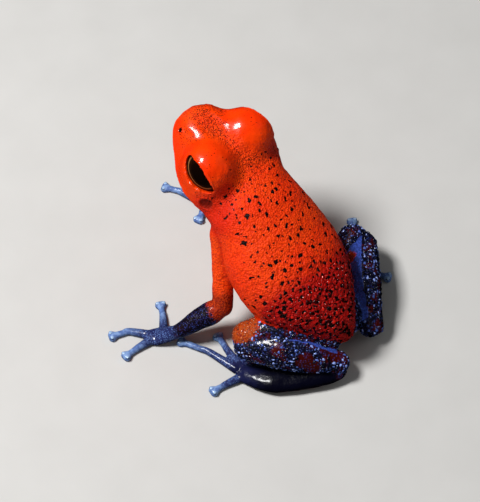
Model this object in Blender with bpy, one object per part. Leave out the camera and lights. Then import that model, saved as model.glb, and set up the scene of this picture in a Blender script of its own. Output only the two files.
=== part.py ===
# Strawberry poison dart frog, a still life-size model that sits with its head raised.
# The frog faces -Y, its left is +X and the floor is z = 0.
# Sizes below are in millimetres, and each mesh is made in metres.

import math

import bmesh
import bpy
from mathutils import Matrix, Vector

MM = 0.001

# Space kept between neighbouring pieces
GAP = 0.28

# Body sections from vent to neck: centre x, y, z, pitch and yaw in degrees,
# half width, height above the centre and depth below it
TORSO_SECTIONS = [
    (1.84, 12.15, 2.55, 20, -4, 0.62, 0.66, 0.62),
    (1.88, 11.80, 2.68, 24, -4, 1.08, 1.20, 1.10),
    (1.92, 11.00, 3.05, 30, -4, 1.85, 1.90, 1.80),
    (1.94, 9.60, 3.76, 37, -5, 3.00, 2.50, 2.75),
    (1.86, 8.00, 4.79, 41, -5, 4.05, 2.85, 3.30),
    (1.68, 6.35, 6.00, 43, -5, 4.40, 2.90, 3.50),
    (1.50, 4.70, 7.30, 42, -5, 4.24, 2.80, 3.30),
    (1.20, 3.15, 8.58, 38, -2, 3.78, 2.55, 2.88),
    (1.05, 1.80, 9.56, 34, 1, 3.60, 2.24, 2.50),
]
BODY_FULLNESS = 2.1
VENT_REACH = 0.25

# The head's own frame: its middle at the level of the mouth, below the eyes
HEAD_CENTRE = (0.45, -0.95, 10.38)
HEAD_PITCH = 32
HEAD_YAW = 0.5

# Head sections along its own axis: distance forward, half width,
# height above the mouth level and depth below it
HEAD_SECTIONS = [
    (-1.60, 3.84, 2.63, 1.95),
    (-0.40, 4.02, 2.60, 1.70),
    (0.80, 3.94, 2.52, 1.44),
    (2.00, 3.46, 2.32, 1.20),
    (3.05, 2.72, 2.20, 0.98),
    (3.90, 2.05, 1.98, 0.78),
    (4.50, 1.47, 1.64, 0.62),
    (4.84, 0.91, 1.08, 0.38),
]
SNOUT_TIP = 4.96
SNOUT_DROP = 0.05
HEAD_FULLNESS = 2.3
JAW_WIDTH = 0.955

# Places in the head's frame are sideways, forward and up
EYE_CENTRE = (2.05, 0.90, 1.80)
EYE_HALF = (1.24, 1.36, 1.19)
EYE_TILT = 6
EYE_LIFT = 30
EYE_TURN = 9
EYE_OPENING_HALF = (1.50, 0.87)
LID = 0.38
LID_BLEND = 0.9
LID_REACH = 2.6
LID_STEP = 0.05
OPENING_START = 0.75
OPENING_REACH = 2.0
OPENING_POINT = 0.25
NOSTRIL_FORWARD = 4.20
NOSTRIL_ANGLE = 30
NOSTRIL_RADIUS = 0.20
MOUTH_CORNER = -1.30
MOUTH_ANGLE = -6
MOUTH_RADIUS = 0.13
MOUTH_PLACES = (0, 0.2, 0.4, 0.6, 0.75, 0.87, 0.95)
EARDRUM_FORWARD = -1.00
EARDRUM_ANGLE = 20
EARDRUM_HALF = (0.14, 0.50, 0.50)

# Joints and bends of each side, x, y, z, and for the foot also its half width
POSE = {
    "left": {
        "shoulder": (3.92, 1.92, 8.25),
        "elbow": (6.16, 3.82, 3.10),
        "wrist": (9.11, 1.95, 1.14),
        "palm": (9.95, 0.85, 0.35),
        "knuckles": (10.40, 0.38, 0.30),
        "hip": (2.75, 10.95, 2.45),
        "thigh": (4.62, 8.88, 3.50),
        "knee": (6.68, 6.78, 2.75),
        "shin": (7.10, 7.25, 2.40),
        "calf": (5.50, 9.85, 2.50),
        "heel": (3.35, 12.60, 1.45),
        "tarsus": ((3.50, 12.60, 0.85, 0.94), (4.45, 12.18, 0.75, 0.96),
                   (5.66, 11.08, 0.68, 1.13), (7.18, 9.60, 0.62, 1.18)),
        "sole": (8.07, 7.96, 0.42, 0.76),
    },
    "right": {
        "shoulder": (-2.30, 2.50, 7.35),
        "elbow": (-3.95, -0.60, 3.35),
        "wrist": (-2.35, -3.60, 1.00),
        "palm": (-1.60, -4.75, 0.35),
        "knuckles": (-1.35, -5.35, 0.30),
        "hip": (0.50, 11.00, 2.45),
        "thigh": (-1.95, 8.80, 2.00),
        "knee": (-4.95, 6.86, 2.75),
        "shin": (-5.28, 7.60, 2.40),
        "calf": (-2.90, 9.60, 2.45),
        "heel": (-0.75, 12.30, 1.45),
        "tarsus": ((-0.95, 12.20, 0.80, 0.94), (-1.82, 11.36, 0.72, 0.94),
                   (-2.90, 10.34, 0.62, 0.94), (-3.88, 9.30, 0.54, 0.94)),
        "sole": (-4.60, 8.30, 0.42, 0.66),
    },
}

# Limb sizes, half of their thickness
SHOULDER_HALF = 1.06
UPPER_ARM_PLACE = 0.45
UPPER_ARM_HALF = 0.80
ELBOW_HALF = 0.78
FOREARM_HALF = 0.85
FOREARM_PLACE = 0.35
FOREARM_ROOT = 0.95
WRIST_HALF = 0.52
PALM_HALF = (0.72, 0.42)
KNUCKLE_SHARE = 0.85
HIP_HALF = 1.12
THIGH_HALF = 1.25
KNEE_HALF = 1.15
SHIN_SHARE = 0.92
CALF_HALF = (1.33, 1.50)
HEEL_HALF = 0.85
TARSUS_HALF = 0.64
SOLE_HALF = 0.52

# Fingers and toes from the inner one outwards: root, bend and tip on the floor, x and y
FINGERS = {
    "left": (
        ((9.50, 1.10), (9.00, 1.36), (8.50, 1.46)),
        ((9.25, 0.70), (8.37, -0.17), (7.72, -1.02)),
        ((10.32, 0.10), (11.03, -1.13), (12.17, -1.78)),
        ((10.67, 0.57), (11.64, 0.36), (12.75, 0.19)),
    ),
    "right": (
        ((-1.10, -4.65), (-0.50, -4.35), (0.07, -4.20)),
        ((-1.20, -5.60), (-0.94, -7.05), (-0.48, -8.19)),
        ((-1.70, -5.60), (-2.10, -6.70), (-2.55, -7.60)),
        ((-2.00, -5.00), (-2.90, -5.50), (-3.80, -5.90)),
    ),
}
TOES = {
    "left": (
        ((7.90, 7.70), (7.10, 7.60), (6.50, 7.30)),
        ((7.85, 7.40), (6.90, 6.70), (6.05, 5.85)),
        ((7.80, 7.00), (7.39, 5.41), (6.92, 4.04)),
        ((8.20, 7.00), (8.40, 4.55), (9.08, 2.32)),
        ((8.50, 7.72), (9.65, 7.32), (10.69, 7.02)),
    ),
    "right": (
        ((-4.30, 8.00), (-3.60, 7.60), (-3.00, 7.10)),
        ((-4.40, 7.80), (-3.90, 6.70), (-3.40, 5.60)),
        ((-4.60, 7.80), (-4.80, 6.30), (-5.10, 4.80)),
        ((-4.80, 7.90), (-6.30, 6.20), (-7.66, 4.59)),
        ((-4.80, 8.40), (-5.20, 9.25), (-5.54, 9.98)),
    ),
}
DIGIT_HALF = 0.27
DIGIT_HEIGHT = 0.22
FINGER_ROOT = 0.30
TOE_ROOT = 0.32

# Half width and half height of a finger at its root, bend and disc, over its usual half
DIGIT_TAPER = ((1.3, 1.2), (1.0, 0.95), (0.92, 0.9))
DISC_HALF = (0.43, 0.37)
DISC_NOTCH = 0.32

# Levels of a finger's disc from the floor up: height and share of its full width
DISC_LEVELS = ((-0.26, 0.82), (-0.06, 1.00), (0.10, 0.94), (0.21, 0.66))
DISC_CROWN = 0.26

BODY_SIDES = 28
HEAD_SIDES = 44
LIMB_SIDES = 12
LEG_SIDES = 16
DIGIT_SIDES = 7
DISC_SIDES = 12
OPENING_SIDES = 18
SHARP_ANGLE = 40
FLOOR_SLAB = (60, 60, 4)

# Base colour and roughness
ORANGE = ((0.80, 0.045, 0.006), 0.30)
NIGHT_BLUE = ((0.010, 0.014, 0.060), 0.30)
STEEL_BLUE = ((0.16, 0.28, 0.60), 0.30)
DARK_EYE = ((0.010, 0.006, 0.005), 0.08)


def catmull(a, b, c, d, t):
    """One value on the smooth curve from b to c."""
    return 0.5 * (
        2 * b + (c - a) * t + (2 * a - 5 * b + 4 * c - d) * t * t
        + (3 * b - a - 3 * c + d) * t ** 3
    )


def smooth_path(stations, steps):
    """Stations joined by a smooth curve, with so many steps between each two."""
    last = len(stations) - 1
    path = []
    for i in range(last):
        four = [stations[min(max(i + k, 0), last)] for k in (-1, 0, 1, 2)]
        for k in range(steps):
            path.append(tuple(catmull(*values, k / steps) for values in zip(*four)))
    path.append(tuple(float(value) for value in stations[last]))
    return path


def directions(pitch, yaw):
    """Sideways, forward and up: yaw turns to the frog's left, pitch lifts the front."""
    pitch, yaw = math.radians(pitch), math.radians(yaw)
    side = Vector((math.cos(yaw), math.sin(yaw), 0))
    level = Vector((math.sin(yaw), -math.cos(yaw), 0))
    forward = level * math.cos(pitch) + Vector((0, 0, math.sin(pitch)))
    return side, forward, forward.cross(side)


def oval_point(centre, side, up, half_width, above, below, angle, fullness=2.0, jaw=1.0):
    """A point of a section that is fuller than an ellipse where fullness is over 2."""
    c, s = math.cos(angle), math.sin(angle)
    across = math.copysign(abs(c) ** (2 / fullness), c) * half_width
    rise = math.copysign(abs(s) ** (2 / fullness), s) * (above if s > 0 else below)
    if s < -0.01:
        across *= jaw
    return centre + side * across + up * rise


def oval(sides, *shape, **options):
    return [oval_point(*shape, math.tau * i / sides, **options) for i in range(sides)]


def as_object(name, bm):
    """Makes an object, in metres, from a closed shape in millimetres."""
    bm.normal_update()
    bmesh.ops.recalc_face_normals(bm, faces=bm.faces)
    bmesh.ops.scale(bm, vec=(MM, MM, MM), verts=bm.verts)
    mesh = bpy.data.meshes.new(name)
    bm.to_mesh(mesh)
    bm.free()
    return bpy.data.objects.new(name, mesh)


def closed_object(name, rings, start=None, end=None):
    """A closed object through rings of points, each end a pole or a flat cap."""
    bm = bmesh.new()
    loops = [[bm.verts.new(point) for point in ring] for ring in rings]
    sides = len(loops[0])
    for near, far in zip(loops, loops[1:]):
        for i in range(sides):
            j = (i + 1) % sides
            bm.faces.new((near[i], near[j], far[j], far[i]))
    for loop, pole in ((loops[0], start), (loops[-1], end)):
        if pole is None:
            bm.faces.new(loop)
            continue
        tip = bm.verts.new(pole)
        for i in range(sides):
            bm.faces.new((loop[i], loop[(i + 1) % sides], tip))
    return as_object(name, bm)


def round_end(centre, frame, half_width, half_height, reach, sides, bends):
    """Shrinking rings beyond the end of a limb, and the pole that closes them."""
    along, side, up = frame
    rings = []
    for degrees in bends:
        angle = math.radians(degrees)
        shrink = math.cos(angle)
        middle = centre + along * (reach * math.sin(angle))
        height = half_height * shrink
        rings.append(oval(sides, middle, side, up, half_width * shrink, height, height))
    return rings, centre + along * reach


def limb(name, stations, sides=LIMB_SIDES, steps=2, grow=0.0, bends=(35, 65)):
    """A tapering limb with round ends. A station is x, y, z, half width, half height."""
    path = smooth_path(stations, steps)
    centres = [Vector(station[:3]) for station in path]
    widths = [station[3] + grow for station in path]
    heights = [station[4] + grow for station in path]
    frames = []
    rings = []
    for i, centre in enumerate(centres):
        along = (centres[min(i + 1, len(path) - 1)] - centres[max(i - 1, 0)]).normalized()
        side = along.cross(Vector((0, 0, 1))).normalized()
        frames.append((along, side, side.cross(along)))
        rings.append(oval(sides, centre, side, frames[-1][2], widths[i], heights[i], heights[i]))
    reach = min(widths[0], heights[0])
    before, start = round_end(centres[0], frames[0], widths[0], heights[0], -reach, sides,
                              bends)
    reach = min(widths[-1], heights[-1])
    after, end = round_end(centres[-1], frames[-1], widths[-1], heights[-1], reach, sides,
                           bends)
    return closed_object(name, before[::-1] + rings + after, start, end)


def ball(name, centre, frame, half, segments=16, rings=10):
    """An ellipsoid with its three half sizes along the three directions of a frame."""
    bm = bmesh.new()
    bmesh.ops.create_uvsphere(bm, u_segments=segments, v_segments=rings, radius=1)
    for vert in bm.verts:
        offset = sum((axis * (size * value) for axis, size, value in zip(frame, half, vert.co)),
                     Vector())
        vert.co = centre + offset
    return as_object(name, bm)


def boolean(target, shapes, operation):
    """Joins closed shapes to the target, or cuts them away, and removes them."""
    group = bpy.data.collections.new("shapes")
    bpy.context.scene.collection.children.link(group)
    for shape in shapes:
        group.objects.link(shape)
    if target.name not in bpy.context.scene.collection.objects:
        bpy.context.scene.collection.objects.link(target)
    modifier = target.modifiers.new(operation, "BOOLEAN")
    modifier.operation = operation
    modifier.operand_type = "COLLECTION"
    modifier.collection = group
    modifier.solver = "EXACT"
    depsgraph = bpy.context.evaluated_depsgraph_get()
    result = bpy.data.meshes.new_from_object(target.evaluated_get(depsgraph))
    target.modifiers.clear()
    old = target.data
    target.data = result
    bpy.data.meshes.remove(old)
    for shape in shapes:
        bpy.data.objects.remove(shape)
    bpy.data.collections.remove(group)
    return target


def keep_largest(target):
    """Keeps the largest closed surface of an object."""
    bm = bmesh.new()
    bm.from_mesh(target.data)
    waiting = set(bm.faces)
    pieces = []
    while waiting:
        piece = set()
        reached = [waiting.pop()]
        while reached:
            face = reached.pop()
            piece.add(face)
            for edge in face.edges:
                for other in edge.link_faces:
                    if other in waiting:
                        waiting.remove(other)
                        reached.append(other)
        pieces.append(piece)
    largest = max(pieces, key=lambda piece: sum(face.calc_area() for face in piece))
    scraps = [face for piece in pieces if piece is not largest for face in piece]
    bmesh.ops.delete(bm, geom=scraps, context="FACES")
    bm.to_mesh(target.data)
    bm.free()


def floor_cutter():
    """A slab that cuts the undersides flat at the floor."""
    bm = bmesh.new()
    bmesh.ops.create_cube(bm, size=1)
    bmesh.ops.scale(bm, vec=FLOOR_SLAB, verts=bm.verts)
    bmesh.ops.translate(bm, vec=(0, 0, -FLOOR_SLAB[2] / 2), verts=bm.verts)
    return as_object("floor", bm)


def body_path(steps):
    """Sections of torso and head as one smooth run, and the index of the neck."""
    head = Vector(HEAD_CENTRE)
    forward = directions(HEAD_PITCH, HEAD_YAW)[1]
    sections = [section + (BODY_FULLNESS, 1.0) for section in TORSO_SECTIONS]
    for distance, half_width, above, below in HEAD_SECTIONS:
        centre = head + forward * distance
        sections.append((*centre, HEAD_PITCH, HEAD_YAW, half_width, above, below,
                         HEAD_FULLNESS, JAW_WIDTH))
    return smooth_path(sections, steps), steps * (len(TORSO_SECTIONS) - 1)


def section_ring(section, sides, grow=0.0, ahead=0.0):
    x, y, z, pitch, yaw, half_width, above, below, fullness, jaw = section
    side, forward, up = directions(pitch, yaw)
    centre = Vector((x, y, z)) + forward * ahead
    return oval(sides, centre, side, up, half_width + grow, above + grow, below + grow,
                fullness=fullness, jaw=jaw)


def torso_shape(name, grow=0.0):
    """The trunk, from the vent to the flat face of the neck."""
    path, neck = body_path(2)
    rings = [section_ring(section, BODY_SIDES, grow) for section in path[:neck + 1]]
    if grow:
        rings.append(section_ring(path[neck], BODY_SIDES, grow, grow))
    first = Vector(path[0][:3])
    back = directions(path[0][3], path[0][4])[1] * -(VENT_REACH + grow)
    return closed_object(name, rings, first + back)


def head_frame():
    return Vector(HEAD_CENTRE), directions(HEAD_PITCH, HEAD_YAW)


def head_place(sideways, distance, height):
    centre, (side, forward, up) = head_frame()
    return centre + side * sideways + forward * distance + up * height


def eye_frame(sign):
    """Directions of an eye: outward, along its long axis, and across the lids."""
    side, forward, up = directions(HEAD_PITCH, HEAD_YAW)
    tilt, lift, turn = (math.radians(angle) for angle in (EYE_TILT, EYE_LIFT, EYE_TURN))
    level = forward * math.cos(tilt) + up * math.sin(tilt)
    above = up * math.cos(tilt) - forward * math.sin(tilt)
    sideways = side * (sign * math.cos(lift)) + above * math.sin(lift)
    across = above * math.cos(lift) - side * (sign * math.sin(lift))
    outward = sideways * math.cos(turn) + level * math.sin(turn)
    along = level * math.cos(turn) - sideways * math.sin(turn)
    return outward, along, across


def lid_gap(place, sign):
    """Roughly how far a place is outside the lids of one eye."""
    sideways, distance, height = EYE_CENTRE
    offset = place - head_place(sideways * sign, distance, height)
    half = [size + GAP + LID for size in EYE_HALF]
    share = sum((offset.dot(axis) / size) ** 2 for axis, size in zip(eye_frame(sign), half))
    return (math.sqrt(share) - 1) * min(half)


def over_lids(point, centre):
    """Moves a point of the head out to where the lids swell softly from it."""
    base = (point - centre).length
    outward = (point - centre) / base
    radius = base + LID_REACH
    while radius > base:
        gap = radius - base
        for sign in (1, -1):
            near = lid_gap(centre + outward * radius, sign)
            mix = max(LID_BLEND - abs(gap - near), 0)
            gap = min(gap, near) - mix * mix / (4 * LID_BLEND)
        if gap <= 0:
            return centre + outward * radius
        radius -= LID_STEP
    return point


def on_head(distance, degrees):
    """A point on the head's surface, at a distance forward and an angle above the mouth."""
    runs = smooth_path(HEAD_SECTIONS, 8)
    near, far = next((a, b) for a, b in zip(runs, runs[1:]) if a[0] <= distance <= b[0])
    t = (distance - near[0]) / (far[0] - near[0])
    distance, half_width, above, below = (a + (b - a) * t for a, b in zip(near, far))
    middle, (side, forward, up) = head_frame()
    centre = middle + forward * distance
    point = oval_point(centre, side, up, half_width, above, below, math.radians(degrees),
                       fullness=HEAD_FULLNESS)
    return over_lids(point, centre)


def mouth_groove():
    """A thin tube along the line of the mouth, from corner to corner round the snout."""
    reach = HEAD_SECTIONS[-1][0] - MOUTH_CORNER
    places = [MOUTH_CORNER + reach * t for t in MOUTH_PLACES]
    left = [on_head(place, MOUTH_ANGLE) for place in places]
    right = [on_head(place, 180 - MOUTH_ANGLE) for place in places]
    front = head_place(0, SNOUT_TIP, -SNOUT_DROP)
    line = [*left, front, *right[::-1]]
    stations = [(*point, MOUTH_RADIUS, MOUTH_RADIUS) for point in line]
    return limb("mouth", stations, sides=6, steps=2)


def eye_ball(name, sign, grow=0.0, segments=18, rings=12):
    sideways, distance, height = EYE_CENTRE
    half = [size + grow for size in EYE_HALF]
    return ball(name, head_place(sideways * sign, distance, height), eye_frame(sign), half,
                segments, rings)


def eye_opening(name, sign):
    """The space between the lids, an almond cut outwards from the eye."""
    outward, along, across = eye_frame(sign)
    sideways, distance, height = EYE_CENTRE
    centre = head_place((sideways + OPENING_START) * sign, distance, height)
    half_length, half_height = EYE_OPENING_HALF
    rings = []
    for step in range(2):
        middle = centre + outward * (OPENING_REACH * step)
        ring = []
        for i in range(OPENING_SIDES):
            angle = math.tau * i / OPENING_SIDES
            lens = math.sin(angle) * (1 - OPENING_POINT * math.cos(angle) ** 2)
            ring.append(middle + along * (half_length * math.cos(angle))
                        + across * (half_height * lens))
        rings.append(ring)
    return closed_object(name, rings)


def add_material(target, colour, roughness):
    material = bpy.data.materials.new(target.name + "_skin")
    material.use_nodes = True
    shader = material.node_tree.nodes["Principled BSDF"]
    shader.inputs["Base Color"].default_value = (*colour, 1)
    shader.inputs["Roughness"].default_value = roughness
    shader.inputs["Metallic"].default_value = 0
    target.data.materials.clear()
    target.data.materials.append(material)


def world_place(item):
    """Where an object's origin is, through its parents, none of which is turned."""
    return item.location + (world_place(item.parent) if item.parent else Vector())


def finish(target, pivot, look, parent=None):
    """Shades a piece, gives it its material and moves its origin to the joint it hangs on."""
    if target.name not in bpy.context.scene.collection.objects:
        bpy.context.scene.collection.objects.link(target)
    keep_largest(target)
    target.data.shade_smooth()
    target.data.set_sharp_from_angle(angle=math.radians(SHARP_ANGLE))
    add_material(target, *look)
    pivot = Vector(pivot) * MM
    target.data.transform(Matrix.Translation(-pivot))
    target.parent = parent
    target.location = pivot - (world_place(parent) if parent else Vector())
    return target


def make_head(parent):
    path, neck = body_path(3)
    rings = [section_ring(path[neck], HEAD_SIDES, ahead=GAP)]
    for section in path[neck + 1:]:
        centre = Vector(section[:3])
        rings.append([over_lids(point, centre) for point in section_ring(section, HEAD_SIDES)])
    head = closed_object("head", rings, None, head_place(0, SNOUT_TIP, -SNOUT_DROP))
    cutters = [mouth_groove()]
    for sign in (1, -1):
        frame = eye_frame(sign)
        cutters.append(eye_ball("socket", sign, GAP))
        cutters.append(eye_opening("opening", sign))
        angle = NOSTRIL_ANGLE if sign > 0 else 180 - NOSTRIL_ANGLE
        place = on_head(NOSTRIL_FORWARD, angle)
        cutters.append(ball("nostril", place, frame, (NOSTRIL_RADIUS,) * 3, 8, 6))
        angle = EARDRUM_ANGLE if sign > 0 else 180 - EARDRUM_ANGLE
        place = on_head(EARDRUM_FORWARD, angle)
        cutters.append(ball("eardrum", place, frame, EARDRUM_HALF, 12, 8))
    boolean(head, cutters, "DIFFERENCE")
    return finish(head, TORSO_SECTIONS[-1][:3], ORANGE, parent)


def upper_arm(name, pose, grow=0.0):
    shoulder, elbow = Vector(pose["shoulder"]), Vector(pose["elbow"])
    stations = [
        (*shoulder, SHOULDER_HALF, SHOULDER_HALF),
        (*shoulder.lerp(elbow, UPPER_ARM_PLACE), UPPER_ARM_HALF, UPPER_ARM_HALF),
        (*elbow, ELBOW_HALF, ELBOW_HALF),
    ]
    return limb(name, stations, grow=grow)


def forearm(name, pose, grow=0.0):
    elbow, wrist = Vector(pose["elbow"]), Vector(pose["wrist"])
    root = ELBOW_HALF * FOREARM_ROOT
    stations = [
        (*elbow, root, root),
        (*elbow.lerp(wrist, FOREARM_PLACE), FOREARM_HALF, FOREARM_HALF),
        (*wrist, WRIST_HALF, WRIST_HALF),
    ]
    return limb(name, stations, grow=grow)


def disc(tip, frame):
    """The two-lobed pad at the end of a finger or toe."""
    side, along, up = frame
    width, length = DISC_HALF
    rings = []
    for height, share in DISC_LEVELS:
        ring = []
        for i in range(DISC_SIDES):
            angle = math.tau * i / DISC_SIDES
            front = max(math.cos(angle), 0) ** 6
            reach = share * (1 - DISC_NOTCH * front)
            ring.append(tip + side * (math.sin(angle) * width * reach)
                        + along * (math.cos(angle) * length * reach) + up * height)
        rings.append(ring)
    return closed_object("disc", rings, None, tip + up * DISC_CROWN)


def digit(root, bend, tip, root_height):
    """A finger or toe that lies on the floor and ends in a disc."""
    root = Vector((*root, root_height))
    bend = Vector((*bend, (root_height + DIGIT_HEIGHT) / 2))
    tip = Vector((*tip, DIGIT_HEIGHT))
    along = (tip - bend).normalized()
    side = along.cross(Vector((0, 0, 1))).normalized()
    places = (root, bend, tip - along * DISC_HALF[1])
    stations = [(*place, DIGIT_HALF * wide, DIGIT_HALF * high)
                for place, (wide, high) in zip(places, DIGIT_TAPER)]
    shaft = limb("digit", stations, sides=DIGIT_SIDES, bends=(45,))
    return [shaft, disc(tip, (side, along, side.cross(along)))]


def hand(name, pose, fingers):
    """The palm, with the shapes that are joined to it as its four fingers."""
    width, height = PALM_HALF
    stations = [
        (*pose["wrist"], WRIST_HALF, WRIST_HALF),
        (*pose["palm"], width, height),
        (*pose["knuckles"], width * KNUCKLE_SHARE, height * KNUCKLE_SHARE),
    ]
    palm = limb(name, stations)
    return palm, [shape for points in fingers for shape in digit(*points, FINGER_ROOT)]


def thigh(name, pose, grow=0.0):
    stations = [
        (*pose["hip"], HIP_HALF, HIP_HALF),
        (*pose["thigh"], THIGH_HALF, THIGH_HALF),
        (*pose["knee"], KNEE_HALF, KNEE_HALF),
    ]
    return limb(name, stations, sides=LEG_SIDES, grow=grow)


def shank(name, pose, grow=0.0):
    root = KNEE_HALF * SHIN_SHARE
    stations = [
        (*pose["shin"], root, root),
        (*pose["calf"], *CALF_HALF),
        (*pose["heel"], HEEL_HALF, HEEL_HALF),
    ]
    return limb(name, stations, sides=LEG_SIDES, grow=grow)


def foot(name, pose, toes):
    """The tarsus and sole, with the shapes that are joined to them as five toes."""
    stations = [(*point, TARSUS_HALF) for point in pose["tarsus"]]
    stations.append((*pose["sole"], SOLE_HALF))
    sole = limb(name, stations)
    return sole, [shape for points in toes for shape in digit(*points, TOE_ROOT)]


def make_arm(side, torso):
    pose = POSE[side]
    arm = upper_arm(f"upper_arm_{side}", pose)
    boolean(arm, [torso_shape("clear", GAP)], "DIFFERENCE")
    finish(arm, pose["shoulder"], ORANGE, torso)
    fore = forearm(f"forearm_{side}", pose)
    boolean(fore, [upper_arm("clear", pose, GAP)], "DIFFERENCE")
    finish(fore, pose["elbow"], NIGHT_BLUE, arm)
    palm, fingers = hand(f"hand_{side}", pose, FINGERS[side])
    boolean(palm, fingers, "UNION")
    boolean(palm, [forearm("clear", pose, GAP), floor_cutter()], "DIFFERENCE")
    finish(palm, pose["wrist"], STEEL_BLUE, fore)


def make_torso():
    """The trunk, hollowed where the folded legs lie against it."""
    torso = torso_shape("torso")
    legs = [shape("clear", pose, GAP) for pose in POSE.values() for shape in (thigh, shank)]
    boolean(torso, legs, "DIFFERENCE")
    return finish(torso, TORSO_SECTIONS[3][:3], ORANGE)


def make_leg(side, torso):
    pose = POSE[side]
    upper = thigh(f"thigh_{side}", pose)
    boolean(upper, [shank("clear", pose, GAP)], "DIFFERENCE")
    finish(upper, pose["hip"], NIGHT_BLUE, torso)
    lower = shank(f"shank_{side}", pose)
    finish(lower, pose["shin"], NIGHT_BLUE, upper)
    sole, toes = foot(f"foot_{side}", pose, TOES[side])
    boolean(sole, toes, "UNION")
    clear = [thigh("clear", pose, GAP), shank("clear", pose, GAP), floor_cutter()]
    boolean(sole, clear, "DIFFERENCE")
    finish(sole, pose["heel"], STEEL_BLUE, lower)


def stand_over_origin(torso):
    """Moves the frog so that the middle of its bounding box is over the origin."""
    places = [world_place(item) + vert.co for item in bpy.data.objects
              for vert in item.data.vertices]
    for axis in (0, 1):
        values = [place[axis] for place in places]
        torso.location[axis] -= (min(values) + max(values)) / 2


def main():
    for old in list(bpy.data.objects):
        bpy.data.objects.remove(old)
    torso = make_torso()
    head = make_head(torso)
    for side, sign in (("left", 1), ("right", -1)):
        sideways, distance, height = EYE_CENTRE
        centre = head_place(sideways * sign, distance, height)
        finish(eye_ball(f"eye_{side}", sign), centre, DARK_EYE, head)
        make_arm(side, torso)
        make_leg(side, torso)
    stand_over_origin(torso)


main()
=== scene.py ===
# A strawberry poison dart frog, life size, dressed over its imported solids:
# one wet skin, raised granules, finger and toe scutes, two eyes, a pale floor,
# soft light and the camera. Shapes are made in millimetres and placed in metres.

import math
from contextlib import contextmanager

import bpy
import numpy as np
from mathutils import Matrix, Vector


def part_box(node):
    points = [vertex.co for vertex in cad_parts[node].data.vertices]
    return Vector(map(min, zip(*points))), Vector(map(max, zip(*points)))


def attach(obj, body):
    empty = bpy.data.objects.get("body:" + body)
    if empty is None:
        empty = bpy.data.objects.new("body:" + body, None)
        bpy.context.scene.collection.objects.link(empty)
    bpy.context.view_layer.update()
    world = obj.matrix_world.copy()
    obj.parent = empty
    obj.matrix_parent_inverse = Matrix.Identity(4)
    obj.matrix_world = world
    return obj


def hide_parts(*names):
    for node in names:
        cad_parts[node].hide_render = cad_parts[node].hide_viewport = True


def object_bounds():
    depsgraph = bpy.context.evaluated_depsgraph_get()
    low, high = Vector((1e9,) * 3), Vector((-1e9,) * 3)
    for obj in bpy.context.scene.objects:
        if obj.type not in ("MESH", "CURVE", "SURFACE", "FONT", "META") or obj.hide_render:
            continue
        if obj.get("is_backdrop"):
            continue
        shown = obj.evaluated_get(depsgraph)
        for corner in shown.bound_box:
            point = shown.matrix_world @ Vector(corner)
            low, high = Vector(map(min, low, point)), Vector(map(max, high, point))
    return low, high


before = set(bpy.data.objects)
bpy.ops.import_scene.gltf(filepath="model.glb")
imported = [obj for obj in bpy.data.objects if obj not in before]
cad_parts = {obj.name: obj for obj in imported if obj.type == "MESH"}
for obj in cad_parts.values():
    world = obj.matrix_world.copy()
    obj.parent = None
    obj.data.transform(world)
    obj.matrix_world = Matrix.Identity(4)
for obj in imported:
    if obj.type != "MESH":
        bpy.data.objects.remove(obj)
cadLow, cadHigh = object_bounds()
mm = 0.001
print("the solids are in, from", [round(v / mm, 2) for v in cadLow], "to",
      [round(v / mm, 2) for v in cadHigh], "mm")

# The trunk from vent to neck: centre x, y, z, pitch and yaw in degrees,
# half width, height above the centre and depth below it
trunkForm = {
    "sections": [
        (1.84, 12.15, 2.55, 20, -4, 0.62, 0.66, 0.62),
        (1.88, 11.80, 2.68, 24, -4, 1.08, 1.20, 1.10),
        (1.92, 11.00, 3.05, 30, -4, 1.85, 1.90, 1.80),
        (1.94, 9.60, 3.76, 37, -5, 3.00, 2.50, 2.75),
        (1.86, 8.00, 4.79, 41, -5, 4.05, 2.85, 3.30),
        (1.68, 6.35, 6.00, 43, -5, 4.40, 2.90, 3.50),
        (1.50, 4.70, 7.30, 42, -5, 4.24, 2.80, 3.30),
        (1.20, 3.15, 8.58, 38, -2, 3.78, 2.55, 2.88),
        (1.05, 1.80, 9.56, 34, 1, 3.60, 2.24, 2.50),
    ],
    "fullness": 2.1,
    "ventReach": 0.25,
}

# The head in its own frame: distance forward, half width, height above the mouth
# and depth below it
headForm = {
    "centre": (0.45, -0.95, 10.38),
    "pitch": 32,
    "yaw": 0.5,
    "sections": [
        (-1.60, 3.84, 2.63, 1.95),
        (-0.40, 4.02, 2.60, 1.70),
        (0.80, 3.94, 2.52, 1.44),
        (2.00, 3.46, 2.32, 1.20),
        (3.05, 2.72, 2.20, 0.98),
        (3.90, 2.05, 1.98, 0.78),
        (4.50, 1.47, 1.64, 0.62),
        (4.84, 0.91, 1.08, 0.38),
    ],
    "snoutTip": 4.96,
    "fullness": 2.3,
    "jawWidth": 0.955,
    "mouthDrop": 0.14,
}

# Eyes and lids: places in the head's frame are sideways, forward and up
eyeForm = {
    "centre": (2.05, 0.90, 1.80),
    "half": (1.24, 1.36, 1.19),
    "lidHeight": 0.66,
    "lidBlend": 0.9,
    "tilt": 6,
    "lift": 30,
    "turn": 9,
    "opening": (1.56, 0.66, 0.94),
    "cornerFall": 0.25,
    "wellShift": 0.3,
    "wellDepth": 2.6,
    "search": (2.6, 0.02, 130),
    "ballGrowth": 0.42,
}

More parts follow.
